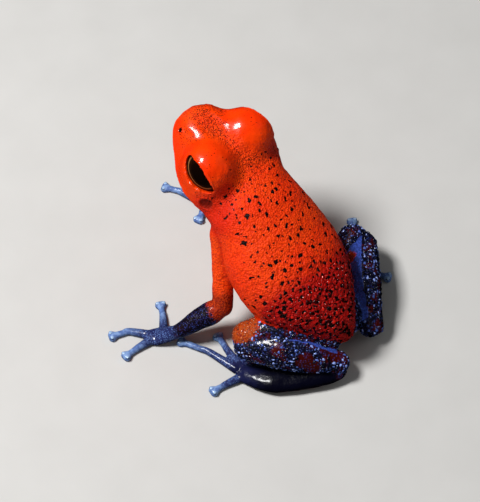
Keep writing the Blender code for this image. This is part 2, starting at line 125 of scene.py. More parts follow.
# Joints and bends of both sides, and for the foot also its half width
limbForm = {
    "left": {
        "shoulder": (3.92, 1.92, 8.25),
        "elbow": (6.16, 3.82, 3.10),
        "wrist": (9.11, 1.95, 1.14),
        "palm": (9.95, 0.85, 0.35),
        "knuckles": (10.40, 0.38, 0.30),
        "hip": (2.75, 10.95, 2.45),
        "thigh": (4.62, 8.88, 3.50),
        "knee": (6.68, 6.78, 2.75),
        "shin": (7.10, 7.25, 2.40),
        "calf": (5.50, 9.85, 2.50),
        "heel": (3.35, 12.60, 1.45),
        "tarsus": [(3.50, 12.60, 0.85, 0.94), (4.45, 12.18, 0.75, 0.96),
                   (5.66, 11.08, 0.68, 1.13), (7.18, 9.60, 0.62, 1.18)],
        "sole": (8.07, 7.96, 0.42, 0.76),
        "fingers": [
            ((9.50, 1.10), (9.00, 1.36), (8.50, 1.46)),
            ((9.25, 0.70), (8.37, -0.17), (7.72, -1.02)),
            ((10.32, 0.10), (11.03, -1.13), (12.17, -1.78)),
            ((10.67, 0.57), (11.64, 0.36), (12.75, 0.19)),
        ],
        "toes": [
            ((7.90, 7.70), (7.10, 7.60), (6.50, 7.30)),
            ((7.85, 7.40), (6.90, 6.70), (6.05, 5.85)),
            ((7.80, 7.00), (7.39, 5.41), (6.92, 4.04)),
            ((8.20, 7.00), (8.40, 4.55), (9.08, 2.32)),
            ((8.50, 7.72), (9.65, 7.32), (10.69, 7.02)),
        ],
    },
    "right": {
        "shoulder": (-2.30, 2.50, 7.35),
        "elbow": (-3.95, -0.60, 3.35),
        "wrist": (-2.35, -3.60, 1.00),
        "palm": (-1.60, -4.75, 0.35),
        "knuckles": (-1.35, -5.35, 0.30),
        "hip": (0.50, 11.00, 2.45),
        "thigh": (-1.95, 8.80, 2.00),
        "knee": (-4.95, 6.86, 2.75),
        "shin": (-5.28, 7.60, 2.40),
        "calf": (-2.90, 9.60, 2.45),
        "heel": (-0.75, 12.30, 1.45),
        "tarsus": [(-0.95, 12.20, 0.80, 0.94), (-1.82, 11.36, 0.72, 0.94),
                   (-2.90, 10.34, 0.62, 0.94), (-3.88, 9.30, 0.54, 0.94)],
        "sole": (-4.60, 8.30, 0.42, 0.66),
        "fingers": [
            ((-1.10, -4.65), (-0.50, -4.35), (0.07, -4.20)),
            ((-1.20, -5.60), (-0.94, -7.05), (-0.48, -8.19)),
            ((-1.70, -5.60), (-2.10, -6.70), (-2.55, -7.60)),
            ((-2.00, -5.00), (-2.90, -5.50), (-3.80, -5.90)),
        ],
        "toes": [
            ((-4.30, 8.00), (-3.60, 7.60), (-3.00, 7.10)),
            ((-4.40, 7.80), (-3.90, 6.70), (-3.40, 5.60)),
            ((-4.60, 7.80), (-4.80, 6.30), (-5.10, 4.80)),
            ((-4.80, 7.90), (-6.30, 6.20), (-7.66, 4.59)),
            ((-4.80, 8.40), (-5.20, 9.25), (-5.54, 9.98)),
        ],
    },
}

# Half thickness of the limbs, and the finger and toe pads
limbSize = {
    "shoulder": 1.06,
    "upperArm": 0.80,
    "elbow": 0.78,
    "forearm": 0.85,
    "wrist": 0.52,
    "palm": (0.72, 0.42),
    "hip": 1.12,
    "thigh": 1.25,
    "knee": 1.15,
    "calf": (1.33, 1.50),
    "heel": 0.85,
    "tarsus": 0.64,
    "sole": 0.52,
    "digit": 0.27,
    "digitHeight": 0.22,
    "rootHeight": {"fingers": 0.30, "toes": 0.32},
    "digitWaist": 0.35,
    "digitShares": [(1.3, 1.2), (1.0, 0.95), (0.86, 0.86), (0.92, 0.90)],
    "bellies": (0.45, 0.35),
    "elbowInside": 0.95,
    "knuckles": 0.85,
    "shin": 0.92,
    "pad": (0.43, 0.37),
    "padNotch": 0.32,
    "padLevels": [(-0.26, 0.80), (-0.20, 0.93), (-0.08, 1.00), (0.06, 0.97), (0.16, 0.84),
                  (0.22, 0.62)],
    "padCrown": 0.26,
    "capAngles": (12, 25, 38, 51, 64, 77),
}


def smoothPath(stations, steps):
    # A smooth curve through all stations, also through their sizes
    table = np.array(stations, float)
    last = len(table) - 1
    rows = []
    for i in range(last):
        a, b, c, d = (table[min(max(i + k, 0), last)] for k in (-1, 0, 1, 2))
        for k in range(steps):
            t = k / steps
            rows.append(0.5 * (2 * b + (c - a) * t + (2 * a - 5 * b + 4 * c - d) * t * t
                               + (3 * b - a - 3 * c + d) * t ** 3))
    rows.append(table[last])
    return np.array(rows)


def directions(pitch, yaw):
    pitch, yaw = math.radians(pitch), math.radians(yaw)
    side = np.array((math.cos(yaw), math.sin(yaw), 0.0))
    level = np.array((math.sin(yaw), -math.cos(yaw), 0.0))
    forward = level * math.cos(pitch) + np.array((0.0, 0.0, math.sin(pitch)))
    return side, forward, np.cross(forward, side)


def unit(vector):
    return vector / np.linalg.norm(vector)


def softStep(low, high, value):
    t = np.clip((value - low) / (high - low), 0, 1)
    return t * t * (3 - 2 * t)


def ovalRing(centre, side, up, halfWidth, above, below, sides, fullness=2.0, jaw=1.0):
    angle = np.linspace(0, math.tau, sides, endpoint=False)
    c, s = np.cos(angle), np.sin(angle)
    across = np.sign(c) * np.abs(c) ** (2 / fullness) * halfWidth
    rise = np.sign(s) * np.abs(s) ** (2 / fullness) * np.where(s > 0, above, below)
    across = np.where(s < -0.01, across * jaw, across)
    return centre + np.outer(across, side) + np.outer(rise, up)


def pickOnly(*shapes):
    bpy.ops.object.select_all(action="DESELECT")
    for shape in shapes:
        shape.select_set(True)
    bpy.context.view_layer.objects.active = shapes[0]


@contextmanager
def editing(shape, action="SELECT"):
    # Edit mode for a few steps, with all or nothing selected at first
    pickOnly(shape)
    bpy.ops.object.mode_set(mode="EDIT")
    if action:
        bpy.ops.mesh.select_all(action=action)
    yield
    bpy.ops.object.mode_set(mode="OBJECT")


def addObject(name, data):
    made = bpy.data.objects.new(name, data)
    bpy.context.scene.collection.objects.link(made)
    return made


def addMesh(name, points, faces):
    mesh = bpy.data.meshes.new(name)
    mesh.from_pydata(points, [], faces)
    return addObject(name, mesh)


def readTable(items, key, width, kind=float):
    # One value of each item, such as a place or the corners, as rows of a table
    table = np.empty(len(items) * width, kind)
    items.foreach_get(key, table)
    return table.reshape(-1, width)


def meshPoints(mesh):
    return readTable(mesh.vertices, "co", 3)


def setPoints(mesh, points):
    mesh.vertices.foreach_set("co", points.ravel())
    mesh.update()


def meshTriangles(mesh, key="vertices"):
    mesh.calc_loop_triangles()
    return readTable(mesh.loop_triangles, key, 3, int)


def applyModifier(shape, kind, **settings):
    modifier = shape.modifiers.new(kind, kind)
    for key, value in settings.items():
        setattr(modifier, key, value)
    pickOnly(shape)
    bpy.ops.object.modifier_apply(modifier=modifier.name)


def closedShape(name, rings, start=None, end=None):
    # Skins a row of rings and closes each end, with a pole or with one flat face
    rings = np.array(rings)
    count, sides = rings.shape[:2]
    points = rings.reshape(-1, 3).tolist()
    turn = [(i, (i + 1) % sides) for i in range(sides)]
    last = (count - 1) * sides
    faces = [(a + i, a + j, a + sides + j, a + sides + i)
             for a in range(0, last, sides) for i, j in turn]
    for first, pole in ((0, start), (last, end)):
        if pole is None:
            faces.append(tuple(range(first, first + sides)))
        else:
            faces += [(first + i, first + j, len(points)) for i, j in turn]
            points.append(tuple(pole))
    shape = addMesh(name, points, faces)
    with editing(shape):
        bpy.ops.mesh.normals_make_consistent(inside=False)
    return shape


def limbShape(name, stations, sides=32, steps=8):
    # A round limb through its stations, with half balls at both ends
    path = smoothPath(stations, steps)
    centres = path[:, :3]
    rings, frames = [], []
    for i, centre in enumerate(centres):
        along = unit(centres[min(i + 1, len(path) - 1)] - centres[max(i - 1, 0)])
        side = unit(np.cross(along, (0, 0, 1)))
        up = np.cross(side, along)
        frames.append((along, side, up))
        rings.append(ovalRing(centre, side, up, path[i, 3], path[i, 4], path[i, 4], sides))
    ends = []
    for i, sign in ((0, -1), (-1, 1)):
        along, side, up = frames[i]
        width, height = path[i, 3:5]
        reach = min(width, height) * sign
        caps = []
        for degrees in limbSize["capAngles"]:
            angle = math.radians(degrees)
            shrink = math.cos(angle)
            middle = centres[i] + along * (reach * math.sin(angle))
            caps.append(ovalRing(middle, side, up, width * shrink, height * shrink,
                                 height * shrink, sides))
        ends.append((caps, centres[i] + along * reach))
    (before, start), (after, end) = ends
    return closedShape(name, before[::-1] + rings + after, start, end)


headSide, headForward, headUp = directions(headForm["pitch"], headForm["yaw"])


def headPlace(sideways, distance, height):
    return (np.array(headForm["centre"]) + headSide * sideways + headForward * distance
            + headUp * height)


def eyeDirections(sign):
    tilt, lift, turn = (math.radians(eyeForm[key]) for key in ("tilt", "lift", "turn"))
    level = headForward * math.cos(tilt) + headUp * math.sin(tilt)
    above = headUp * math.cos(tilt) - headForward * math.sin(tilt)
    sideways = headSide * (sign * math.cos(lift)) + above * math.sin(lift)
    across = above * math.cos(lift) - headSide * (sign * math.sin(lift))
    outward = sideways * math.cos(turn) + level * math.sin(turn)
    along = level * math.cos(turn) - sideways * math.sin(turn)
    return outward, along, across


def eyePlace(sign):
    sideways, distance, height = eyeForm["centre"]
    return headPlace(sideways * sign, distance, height)


def inEye(points, sign):
    offset = points - eyePlace(sign)
    return np.stack([offset @ axis for axis in eyeDirections(sign)], -1)


def lidGap(points, sign):
    # Roughly how far points lie outside a lid
    half = np.array(eyeForm["half"]) + eyeForm["lidHeight"]
    return (np.linalg.norm(inEye(points, sign) / half, axis=-1) - 1) * half.min()


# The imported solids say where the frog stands: the shapes move by the same step
solidEye = sum(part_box("eye_left"), Vector()) / 2 / mm
standStep = np.array(solidEye) - eyePlace(1)
standStep[2] = 0


def overLids(points, centre):
    # Moves points out along their rays, to where the body and the two lids blend
    base = np.linalg.norm(points - centre, axis=-1)
    outward = (points - centre) / base[:, None]
    found = base.copy()
    waiting = np.ones(len(base), bool)
    blend = eyeForm["lidBlend"]
    reach, stride, steps = eyeForm["search"]
    for step in range(steps):
        radius = base + reach - stride * step
        gap = radius - base
        for sign in (1, -1):
            near = lidGap(centre + outward * radius[:, None], sign)
            mix = np.maximum(blend - np.abs(gap - near), 0)
            gap = np.minimum(gap, near) - mix * mix / (4 * blend)
        hit = waiting & (gap <= 0)
        found[hit] = radius[hit]
        waiting &= ~hit
    return centre + outward * found[:, None]


def bodyRings(steps, sides):
    # Rings from vent to snout, raised over the lids from the neck on
    stations = [section + (trunkForm["fullness"], 1.0) for section in trunkForm["sections"]]
    for distance, halfWidth, above, below in headForm["sections"]:
        stations.append((*headPlace(0, distance, 0), headForm["pitch"], headForm["yaw"],
                         halfWidth, above, below, headForm["fullness"], headForm["jawWidth"]))
    neck = steps * (len(trunkForm["sections"]) - 1)
    rings = []
    path = smoothPath(stations, steps)
    for i, (x, y, z, pitch, yaw, halfWidth, above, below, fullness, jaw) in enumerate(path):
        side, forward, up = directions(pitch, yaw)
        centre = np.array((x, y, z))
        ring = ovalRing(centre, side, up, halfWidth, above, below, sides, fullness, jaw)
        rings.append(overLids(ring, centre) if i > neck else ring)
    return path, rings


def eyeWell(sign):
    # Cuts the almond opening between the lids
    outward, along, across = eyeDirections(sign)
    sideways, distance, height = eyeForm["centre"]
    centre = headPlace((sideways + eyeForm["wellShift"]) * sign, distance, height)
    halfLength, above, below = eyeForm["opening"]
    angle = np.linspace(0, math.tau, 64, endpoint=False)
    lens = np.sin(angle) * (1 - eyeForm["cornerFall"] * np.cos(angle) ** 2)
    ring = (centre + np.outer(np.cos(angle) * halfLength, along)
            + np.outer(lens * np.where(lens > 0, above, below), across))
    return closedShape("well", [ring, ring + outward * eyeForm["wellDepth"]])


def padShape(tip, side, along, up):
    # The disc at the end of a finger or toe, with a shallow notch in front
    width, length = limbSize["pad"]
    angle = np.linspace(0, math.tau, 36, endpoint=False)
    front = np.maximum(np.cos(angle), 0) ** 6
    rings = []
    for height, share in limbSize["padLevels"]:
        reach = share * (1 - limbSize["padNotch"] * front)
        rings.append(tip + np.outer(np.sin(angle) * width * reach, side)
                     + np.outer(np.cos(angle) * length * reach, along) + up * height)
    return closedShape("pad", rings, None, tip + up * limbSize["padCrown"])


def digitLines(pose):
    # Name, root, bend and tip of each finger and toe of one side
    for kind, rootHeight in limbSize["rootHeight"].items():
        for number, line in enumerate(pose[kind]):
            root, bend, tip = (np.array((*place, 0.0)) for place in line)
            root[2] = rootHeight
            bend[2] = (rootHeight + limbSize["digitHeight"]) / 2
            tip[2] = limbSize["digitHeight"]
            yield f"{kind}{number}", root, bend, tip


def tipDirections(bend, tip):
    along = unit(tip - bend)
    return along, unit(np.cross(along, (0, 0, 1)))


def digitShapes(root, bend, tip):
    along, side = tipDirections(bend, tip)
    half = limbSize["digit"]
    places = (root, bend, bend + (tip - bend) * limbSize["digitWaist"],
              tip - along * limbSize["pad"][1])
    stations = [(*place, half * wide, half * tall)
                for place, (wide, tall) in zip(places, limbSize["digitShares"])]
    return [limbShape("digit", stations, 20, 6),
            padShape(tip, side, along, np.cross(side, along))]


def limbStations(pose):
    size = limbSize
    shoulder, elbow, wrist = (np.array(pose[key]) for key in ("shoulder", "elbow", "wrist"))
    upper, lower = size["bellies"]

    def ball(place, half):
        return (*place, half, half)

    return {
        "upperArm": [ball(shoulder, size["shoulder"]),
                     ball(shoulder + (elbow - shoulder) * upper, size["upperArm"]),
                     ball(elbow, size["elbow"])],
        "forearm": [ball(elbow, size["elbow"] * size["elbowInside"]),
                    ball(elbow + (wrist - elbow) * lower, size["forearm"]),
                    ball(wrist, size["wrist"])],
        "palm": [ball(wrist, size["wrist"]),
                 (*pose["palm"], *size["palm"]),
                 (*pose["knuckles"], *(half * size["knuckles"] for half in size["palm"]))],
        "thigh": [ball(pose[key], size[key]) for key in ("hip", "thigh", "knee")],
        "shank": [ball(pose["shin"], size["knee"] * size["shin"]),
                  (*pose["calf"], *size["calf"]),
                  ball(pose["heel"], size["heel"])],
        "foot": [(*point, size["tarsus"]) for point in pose["tarsus"]]
                + [(*pose["sole"], size["sole"])],
    }


def slab():
    # The block under the floor, which cuts the flats of hands and feet
    bpy.ops.object.select_all(action="DESELECT")
    bpy.ops.mesh.primitive_cube_add(size=1, location=(0, 0, -2))
    block = bpy.context.object
    block.scale = (60, 60, 4)
    bpy.ops.object.transform_apply(location=True, rotation=True, scale=True)
    return block


def cutAway(shape, cutters):
    for cutter in cutters:
        applyModifier(shape, "BOOLEAN", operation="DIFFERENCE", object=cutter, solver="EXACT")
        bpy.data.objects.remove(cutter)


def largestPart(shape):
    # Merges the near points that a cut leaves, and keeps the largest closed part
    with editing(shape):
        bpy.ops.mesh.delete_loose()
        bpy.ops.mesh.select_all(action="SELECT")
        bpy.ops.mesh.remove_doubles(threshold=skinForm["mergeGap"])
        bpy.ops.mesh.separate(type="LOOSE")
    *rest, largest = sorted(bpy.context.selected_objects,
                            key=lambda part: len(part.data.vertices))
    for part in rest:
        bpy.data.objects.remove(part)
    largest.name = "skin"
    return largest


# How fine the skin is, in millimetres, and how it is evened out
skinForm = {
    "voxel": 0.122,
    "bodySides": 168,
    "bodySteps": 9,
    "limbSides": {"upperArm": 32, "forearm": 32, "palm": 28, "thigh": 44, "shank": 44,
                  "foot": 28},
    "evenRounds": 3,
    "creaseRounds": 14,
    "sharpen": (0.5, -0.52),
    "soften": (0.5, -0.30),
    "mergeGap": 0.012,
    # height, period and seed of the skin's unevenness, and where it fades: by digits and floor
    "waves": [(0.030, 1.5, 3), (0.014, 0.6, 4)],
    "fromDigits": (1.1, 1.8),
    "fromFloor": (0.05, 0.5),
    "calmSnout": (0.7, 0.5, 2.0),
    # width and reach of the painted shade in the creases
    "creaseShade": (0.07, 1.45, 1.15),
    "memberEdge": 0.06,
}

bodyPath, rings = bodyRings(skinForm["bodySteps"], skinForm["bodySides"])
sideways, forward, up = directions(bodyPath[0][3], bodyPath[0][4])
body = closedShape("skin", rings, bodyPath[0][:3] - forward * trunkForm["ventReach"],
                   headPlace(0, headForm["snoutTip"], -0.05))
cutAway(body, [eyeWell(1), eyeWell(-1)])
shapes = []
for pose in limbForm.values():
    stations = limbStations(pose)
    for part, sides in skinForm["limbSides"].items():
        shapes.append(limbShape(part, stations[part], sides))
    for _, *line in digitLines(pose):
        shapes += digitShapes(*line)
pickOnly(body, *shapes)
bpy.ops.object.join()
applyModifier(body, "REMESH", mode="VOXEL", voxel_size=skinForm["voxel"], adaptivity=0)
cutAway(body, [slab()])
skin = largestPart(body)


def evenOut(points, edges, share, rounds, weight=1.0):
    # Moves each point towards the mean of its neighbours; a negative share moves it back
    count = len(points)
    a, b = edges.T
    degree = np.bincount(a, minlength=count) + np.bincount(b, minlength=count)
    for _ in range(rounds):
        for step in share:
            mean = np.stack([np.bincount(a, points[b, k], count)
                             + np.bincount(b, points[a, k], count) for k in range(3)], -1)
            mean /= np.maximum(degree, 1)[:, None]
            points = points + (mean - points) * (step * np.reshape(weight, (-1, 1)))
    return points


def lineFacts(points, stations, values, steps=4):
    # Distance to a limb's middle line over its half thickness, value along it, nearest place
    path = smoothPath([(*station, value) for station, value in zip(stations, values)], steps)
    best = np.full(len(points), 1e9)
    along = np.zeros(len(points))
    nearest = np.zeros((len(points), 3))
    for a, b in zip(path, path[1:]):
        run = b[:3] - a[:3]
        t = np.clip((points - a[:3]) @ run / (run @ run), 0, 1)
        place = a[:3] + t[:, None] * run
        half = (a[3] + a[4]) / 2 + t * (b[3] + b[4] - a[3] - a[4]) / 2
        share = np.linalg.norm(points - place, axis=1) / half
        closer = share < best
        best = np.where(closer, share, best)
        along = np.where(closer, a[5] + t * (b[5] - a[5]), along)
        nearest = np.where(closer[:, None], place, nearest)
    return best, along, nearest


def bodyFacts(points):
    # Distance over the section's own size, place along the body and around it in millimetres
    stations = bodyPath[::3]
    centres = stations[:, :3]
    runs = np.concatenate(([0], np.cumsum(np.linalg.norm(np.diff(centres, axis=0), axis=1))))
    best = np.full(len(points), 1e9)
    along = np.zeros(len(points))
    around = np.zeros(len(points))
    rise = np.zeros(len(points))
    off = np.full(len(points), 1e9)
    for run, (x, y, z, pitch, yaw, halfWidth, above, below, _, _) in zip(runs, stations):
        side, forward, up = directions(pitch, yaw)
        offset = points - (x, y, z)
        ahead = offset @ forward
        across = offset @ side
        height = offset @ up
        share = np.hypot(across / halfWidth, height / np.where(height > 0, above, below))
        nearer = np.abs(ahead) < off
        off = np.where(nearer, np.abs(ahead), off)
        best = np.where(nearer, share, best)
        along = np.where(nearer, run + ahead, along)
        around = np.where(nearer, np.arctan2(across, height) * (halfWidth + above) / 2, around)
        rise = np.where(nearer, height / np.hypot(across, height), rise)
    ends = np.maximum(off - 0.4, 0)
    return best + ends, along, around, rise, runs[-1]


def headLocal(points):
    offset = points - np.array(headForm["centre"])
    return offset @ headSide, offset @ headForward, offset @ headUp


def onHead(distance, degrees):
    # A point of the head's surface, at a distance forward and an angle above the mouth
    table = smoothPath(headForm["sections"], 8)
    halfWidth, above, below = (np.interp(distance, table[:, 0], table[:, k]) for k in (1, 2, 3))
    centre = headPlace(0, distance, 0)
    angle = math.radians(degrees)
    c, s = math.cos(angle), math.sin(angle)
    power = 2 / headForm["fullness"]
    point = (centre + headSide * (math.copysign(abs(c) ** power, c) * halfWidth)
             + headUp * (math.copysign(abs(s) ** power, s) * (above if s > 0 else below)))
    return overLids(point[None], centre)[0]


def mouthLevel(ahead):
    table = np.array(headForm["sections"])
    return -headForm["mouthDrop"] * np.interp(ahead, table[:, 0], table[:, 3])


def awayFrom(points, place):
    return np.linalg.norm(points - np.array(place), axis=1)


def bump(distance, radius):
    return np.exp(-(distance / radius) ** 2)


def almond(points, sign):
    # Below 1 inside the opening between the lids
    local = inEye(points, sign)
    halfLength, above, below = eyeForm["opening"]
    across = local[:, 2] / np.where(local[:, 2] > 0, above, below)
    share = np.clip(local[:, 1] / halfLength, -1, 1)
    lens = np.sqrt(np.maximum(1 - share ** 2, 1e-4))
    lens *= 1 - eyeForm["cornerFall"] * share ** 2
    past = np.maximum(np.abs(local[:, 1]) / halfLength - 1, 0)
    return np.abs(across) / lens + past * 6 + np.where(local[:, 0] < 0, 9, 0)


# Small forms of the head, in millimetres. Ridges and grooves follow a line or a ring: distance,
# rise and width. Dents are places sideways, forward and up, depth and radius, on both sides.
featureForm = {
    "nostril": (4.20, 32),
    "nostrilRidges": [(0.22, 0.055, 0.10), (0.0, -0.20, 0.115)],
    "ear": (-1.00, 20),
    "earRidges": [(0.60, 0.04, 0.10)],
    "earEdge": (0.54, 0.34),
    "earDepth": 0.09,
    "mouthRidges": [(0.0, -0.13, 0.085), (0.20, 0.05, 0.13), (-0.24, -0.03, 0.14)],
    "mouthCorner": (-1.50, -0.85),
    "mouthReach": 1.2,
    "lidRidges": [(1.10, 0.045, 0.10)],
    "lidReach": (3.0, 2.4),
    "dents": [((2.55, 2.95, 0.95), 0.12, 0.75), ((3.75, -1.90, 1.55), 0.08, 0.75),
              ((2.70, -1.15, 2.35), 0.06, 0.80)],
    "slopeMiddle": (1.18, 3.55, 2.08),
    "slopeFacing": (0.407, 0.463, 0.788),
    "slopeCourse": (-0.18, 0.86, -0.48),
    "slopeHalf": (1.00, 0.42),
    "slopeReach": (0.9, 0.6),
    "slopeCurve": (0.03, 0.12),
    "finePatch": 0.55,
    "fineMouth": (0.36, -1.7),
    "fineLids": (1.7, 2.6),
}


def bothSides(distance, angle):
    return [onHead(distance, angle), onHead(distance, 180 - angle)]


nostrilPlaces = bothSides(*featureForm["nostril"])
earPlaces = bothSides(*featureForm["ear"])


def fineMask(points):
    # Where the skin needs a finer mesh
    form = featureForm
    side, ahead, height = headLocal(points)
    reach, back = form["fineMouth"]
    mask = (np.abs(height - mouthLevel(ahead)) < reach) & (ahead > back)
    for places, radius in ((nostrilPlaces, form["finePatch"]),
                           (earPlaces, form["finePatch"] + 0.25)):
        for place in places:
            mask |= awayFrom(points, place) < radius
    share, radius = form["fineLids"]
    for sign in (1, -1):
        mask |= (almond(points, sign) < share) & (awayFrom(points, eyePlace(sign)) < radius)
    return mask


def refine(shape, mask):
    # Splits the picked triangles once
    with editing(shape, "DESELECT"):
        bpy.ops.mesh.select_mode(type="VERT")
    shape.data.vertices.foreach_set("select", mask)
    with editing(shape, None):
        bpy.ops.mesh.subdivide(number_cuts=1)
        bpy.ops.mesh.select_all(action="SELECT")
        bpy.ops.mesh.quads_convert_to_tris()


def sharpened(mesh, rounds):
    # The mesh's points, evened out without shrinking, and its edges
    edges = readTable(mesh.edges, "vertices", 2, int)
    return evenOut(meshPoints(mesh), edges, skinForm["sharpen"], rounds), edges


points, edges = sharpened(skin.data, skinForm["evenRounds"])
setPoints(skin.data, points)
refine(skin, fineMask(points))
points, edges = sharpened(skin.data, 1)
print("one skin of", len(points), "points and", len(skin.data.polygons), "triangles")


def limbFacts(points):
    # For each limb and side: its values run from shoulder or hip, 0, to finger or toe tip, 4
    found = {}
    for side, pose in limbForm.items():
        stations = limbStations(pose)
        for part, values in (("upperArm", (0, 0.45, 1)), ("forearm", (1, 1.35, 2)),
                             ("palm", (2, 2.6, 3)), ("thigh", (0, 0.5, 1)),
                             ("shank", (1, 1.5, 2)), ("foot", (2, 2.2, 2.5, 2.8, 3))):
            found[part, side] = lineFacts(points, stations[part], values)
        half = limbSize["digit"]
        for digit, *line in digitLines(pose):
            spots = [(*place, half, half) for place in line]
            found[digit, side] = lineFacts(points, spots, (3, 3.5, 4))
    return found


bodyShare, bodyAlong, bodyAround, bodyRise, bodyLength = bodyFacts(points)
facts = limbFacts(points)
shares = {key: value[0] for key, value in facts.items()}


def nearTo(place, radius):
    return softStep(radius, radius * 0.35, awayFrom(points, place))


# Where the limbs' joins are evened out more: radius and strength
softForm = {"shoulder": (2.0, 0.8), "elbow": (1.1, 0.7), "wrist": (0.9, 0.6),
            "knuckles": (0.9, 0.4), "sole": (1.0, 0.4)}
soft = np.zeros(len(points))
for pose in limbForm.values():
    for joint, (radius, strength) in softForm.items():
        soft = np.maximum(soft, nearTo(pose[joint][:3], radius) * strength)
points = evenOut(points, edges, skinForm["soften"], skinForm["creaseRounds"], soft)
setPoints(skin.data, points)


def snoutSlope(points, sign):
    # How far each point lies below the long, nearly flat slope between nostril and lid
    form = featureForm
    mirror = np.array((sign, 1.0, 1.0))
    axes = np.stack([headSide, headForward, headUp])
    facing = unit(np.array(form["slopeFacing"]) * mirror) @ axes
    course = unit(np.array(form["slopeCourse"]) * mirror) @ axes
    sideways, distance, height = form["slopeMiddle"]
    offset = points - headPlace(sideways * sign, distance, height)
    along = offset @ course
    across = offset @ np.cross(facing, course)
    below = offset @ facing
    halfLength, halfWidth = form["slopeHalf"]
    share = np.exp(-(along / halfLength) ** 4 - (across / halfWidth) ** 4)
    share *= softStep(*form["slopeReach"], np.abs(below))
    bendAlong, bendAcross = form["slopeCurve"]
    return -share * (below + bendAcross * across ** 2 + bendAlong * along ** 2)


def ridges(distance, rows):
    return sum(rise * bump(distance - place, width) for place, rise, width in rows)


def headRelief(points):
    # How far each point moves out: mouth, nostrils, ears, lid rims, lores and folds
    form = featureForm
    side, ahead, height = headLocal(points)
    inHead = softStep(*form["mouthCorner"], ahead) * (np.abs(height) < form["mouthReach"])
    rise = inHead * ridges(height - mouthLevel(ahead), form["mouthRidges"])
    for place in nostrilPlaces:
        rise += ridges(awayFrom(points, place), form["nostrilRidges"])
    for place in earPlaces:
        away = awayFrom(points, place)
        rise += ridges(away, form["earRidges"])
        rise -= form["earDepth"] * softStep(*form["earEdge"], away)
    for sign in (1, -1):
        near = softStep(*form["lidReach"], awayFrom(points, eyePlace(sign)))
        rise += near * ridges(almond(points, sign), form["lidRidges"])
        rise += snoutSlope(points, sign)
        for (sideways, distance, level), depth, radius in form["dents"]:
            dent = headPlace(sideways * sign, distance, level)
            rise -= depth * bump(awayFrom(points, dent), radius)
    return rise


def softWaves(points, period, seed):
    # Smooth unevenness from a few crossing waves, between -1 and 1
    dice = np.random.default_rng(seed)
    total = np.zeros(len(points))
    for _ in range(7):
        course = unit(dice.normal(size=3)) * (math.tau / (period * dice.uniform(0.7, 1.4)))
        total += np.sin(points @ course + dice.uniform(0, math.tau))
    return total / 4


def creaseShadeMask():
    # Near 1 along the lines where arms and legs lie against the trunk or each other, where the
    # skin gets painted shade
    mask = np.zeros(len(points))
    width, far, near = skinForm["creaseShade"]
    for side in limbForm:
        arm = np.minimum(shares["upperArm", side], shares["forearm", side])
        upper, lower, sole = (shares[part, side] for part in ("thigh", "shank", "foot"))
        for one, two in ((bodyShare, arm), (bodyShare, upper), (bodyShare, lower),
                         (upper, lower), (lower, sole)):
            mask = np.maximum(mask, bump(one - two, width) * softStep(far, near, one))
    return mask


creaseShade = creaseShadeMask()
onDigits = np.min([shares[key] for key in shares if key[0][-1].isdigit()], 0)
plain = (softStep(*skinForm["fromDigits"], onDigits)
         * softStep(*skinForm["fromFloor"], points[:, 2]))
calm, back, front = skinForm["calmSnout"]
plain *= 1 - calm * softStep(back, front, headLocal(points)[1])
relief = headRelief(points)
for height, period, seed in skinForm["waves"]:
    relief += plain * height * softWaves(points, period, seed)
points += readTable(skin.data.vertex_normals, "vector", 3) * relief[:, None]
points[:, 2] = np.maximum(points[:, 2], 0)
setPoints(skin.data, points)
print("the skin is evened out, with the head's small forms")


def lowest(*parts):
    # The least share of some limbs at each point, and the value along the limb that has it
    keys = [key for key in shares if key[0].rstrip("0123456789") in parts]
    table = np.stack([shares[key] for key in keys])
    values = np.stack([facts[key][1] for key in keys])
    return table.min(0), np.take_along_axis(values, table.argmin(0)[None], 0)[0]


# Membership of the body, the arms and the legs, each from 0 to 1
armShare, armValue = lowest("upperArm", "forearm", "palm", "fingers")
legShare, legValue = lowest("thigh", "shank", "foot", "toes")
others = np.minimum(bodyShare, armShare)
edge = skinForm["memberEdge"]
legMask = softStep(-edge, edge, others - legShare)
armMask = softStep(-edge, edge, np.minimum(bodyShare, legShare) - armShare)
onBody = np.clip(1 - legMask - armMask, 0, 1)
side, ahead, height = headLocal(points)
kinds = {"body": onBody, "arm": armMask, "leg": legMask}
scales = {"rise": bodyRise, "fromVent": bodyAlong / bodyLength, "ahead": ahead,
          "height": height, "offMiddle": np.abs(side), "onArm": armValue, "onLeg": legValue,
          "floor": points[:, 2]}

# Masks by limits: each belongs to the body, the arms or the legs and fades along some scales
maskForm = {
    "spots": ("body", ("rise", 0.10, 0.55), ("fromVent", 0.80, 0.70)),
    "dense": ("body", ("rise", -0.45, 0.20), ("fromVent", 0.40, 0.20)),
    "stipple": ("body", ("ahead", -3.2, 0.2), ("ahead", 4.90, 4.50), ("height", 0.7, 1.7)),
    "crown": ("body", ("ahead", -2.5, -0.5), ("ahead", 3.0, 1.5), ("height", 1.5, 2.3)),
    "gloss": ("body", ("ahead", -0.9, 0.6), ("offMiddle", 0.45, 1.05)),
    # the rump's deeper red, darkened as painted shade
    "crimson": ("body", ("fromVent", 0.46, 0.16), ("rise", -0.35, 0.35)),
    "belly": ("body", ("rise", -0.35, -0.85), ("fromVent", 0.02, 0.16)),
    "nape": ("body", ("fromVent", 0.60, 0.72)),
    "night": ("arm", ("onArm", 1.02, 1.40)),
    "steel": ("arm", ("onArm", 1.75, 2.30)),
    "armRust": ("arm", ("onArm", 0.60, 0.95)),
    "palm": ("arm", ("onArm", 1.2, 1.9), ("onArm", 3.2, 2.8)),
    "fingers": ("arm", ("onArm", 3.05, 3.75)),
    "paleToes": ("leg", ("onLeg", 2.90, 3.30)),
    "toes": ("leg", ("onLeg", 3.45, 3.95)),
    "tarsus": ("leg", ("onLeg", 2.00, 2.12)),
    "blueSole": ("leg", ("onLeg", 2.82, 3.04)),
    "underside": ("leg", ("floor", 0.80, 0.25), ("onLeg", 2.9, 2.6)),
}
masks = {"onBody": onBody, "onArm": armMask, "creaseShade": creaseShade}
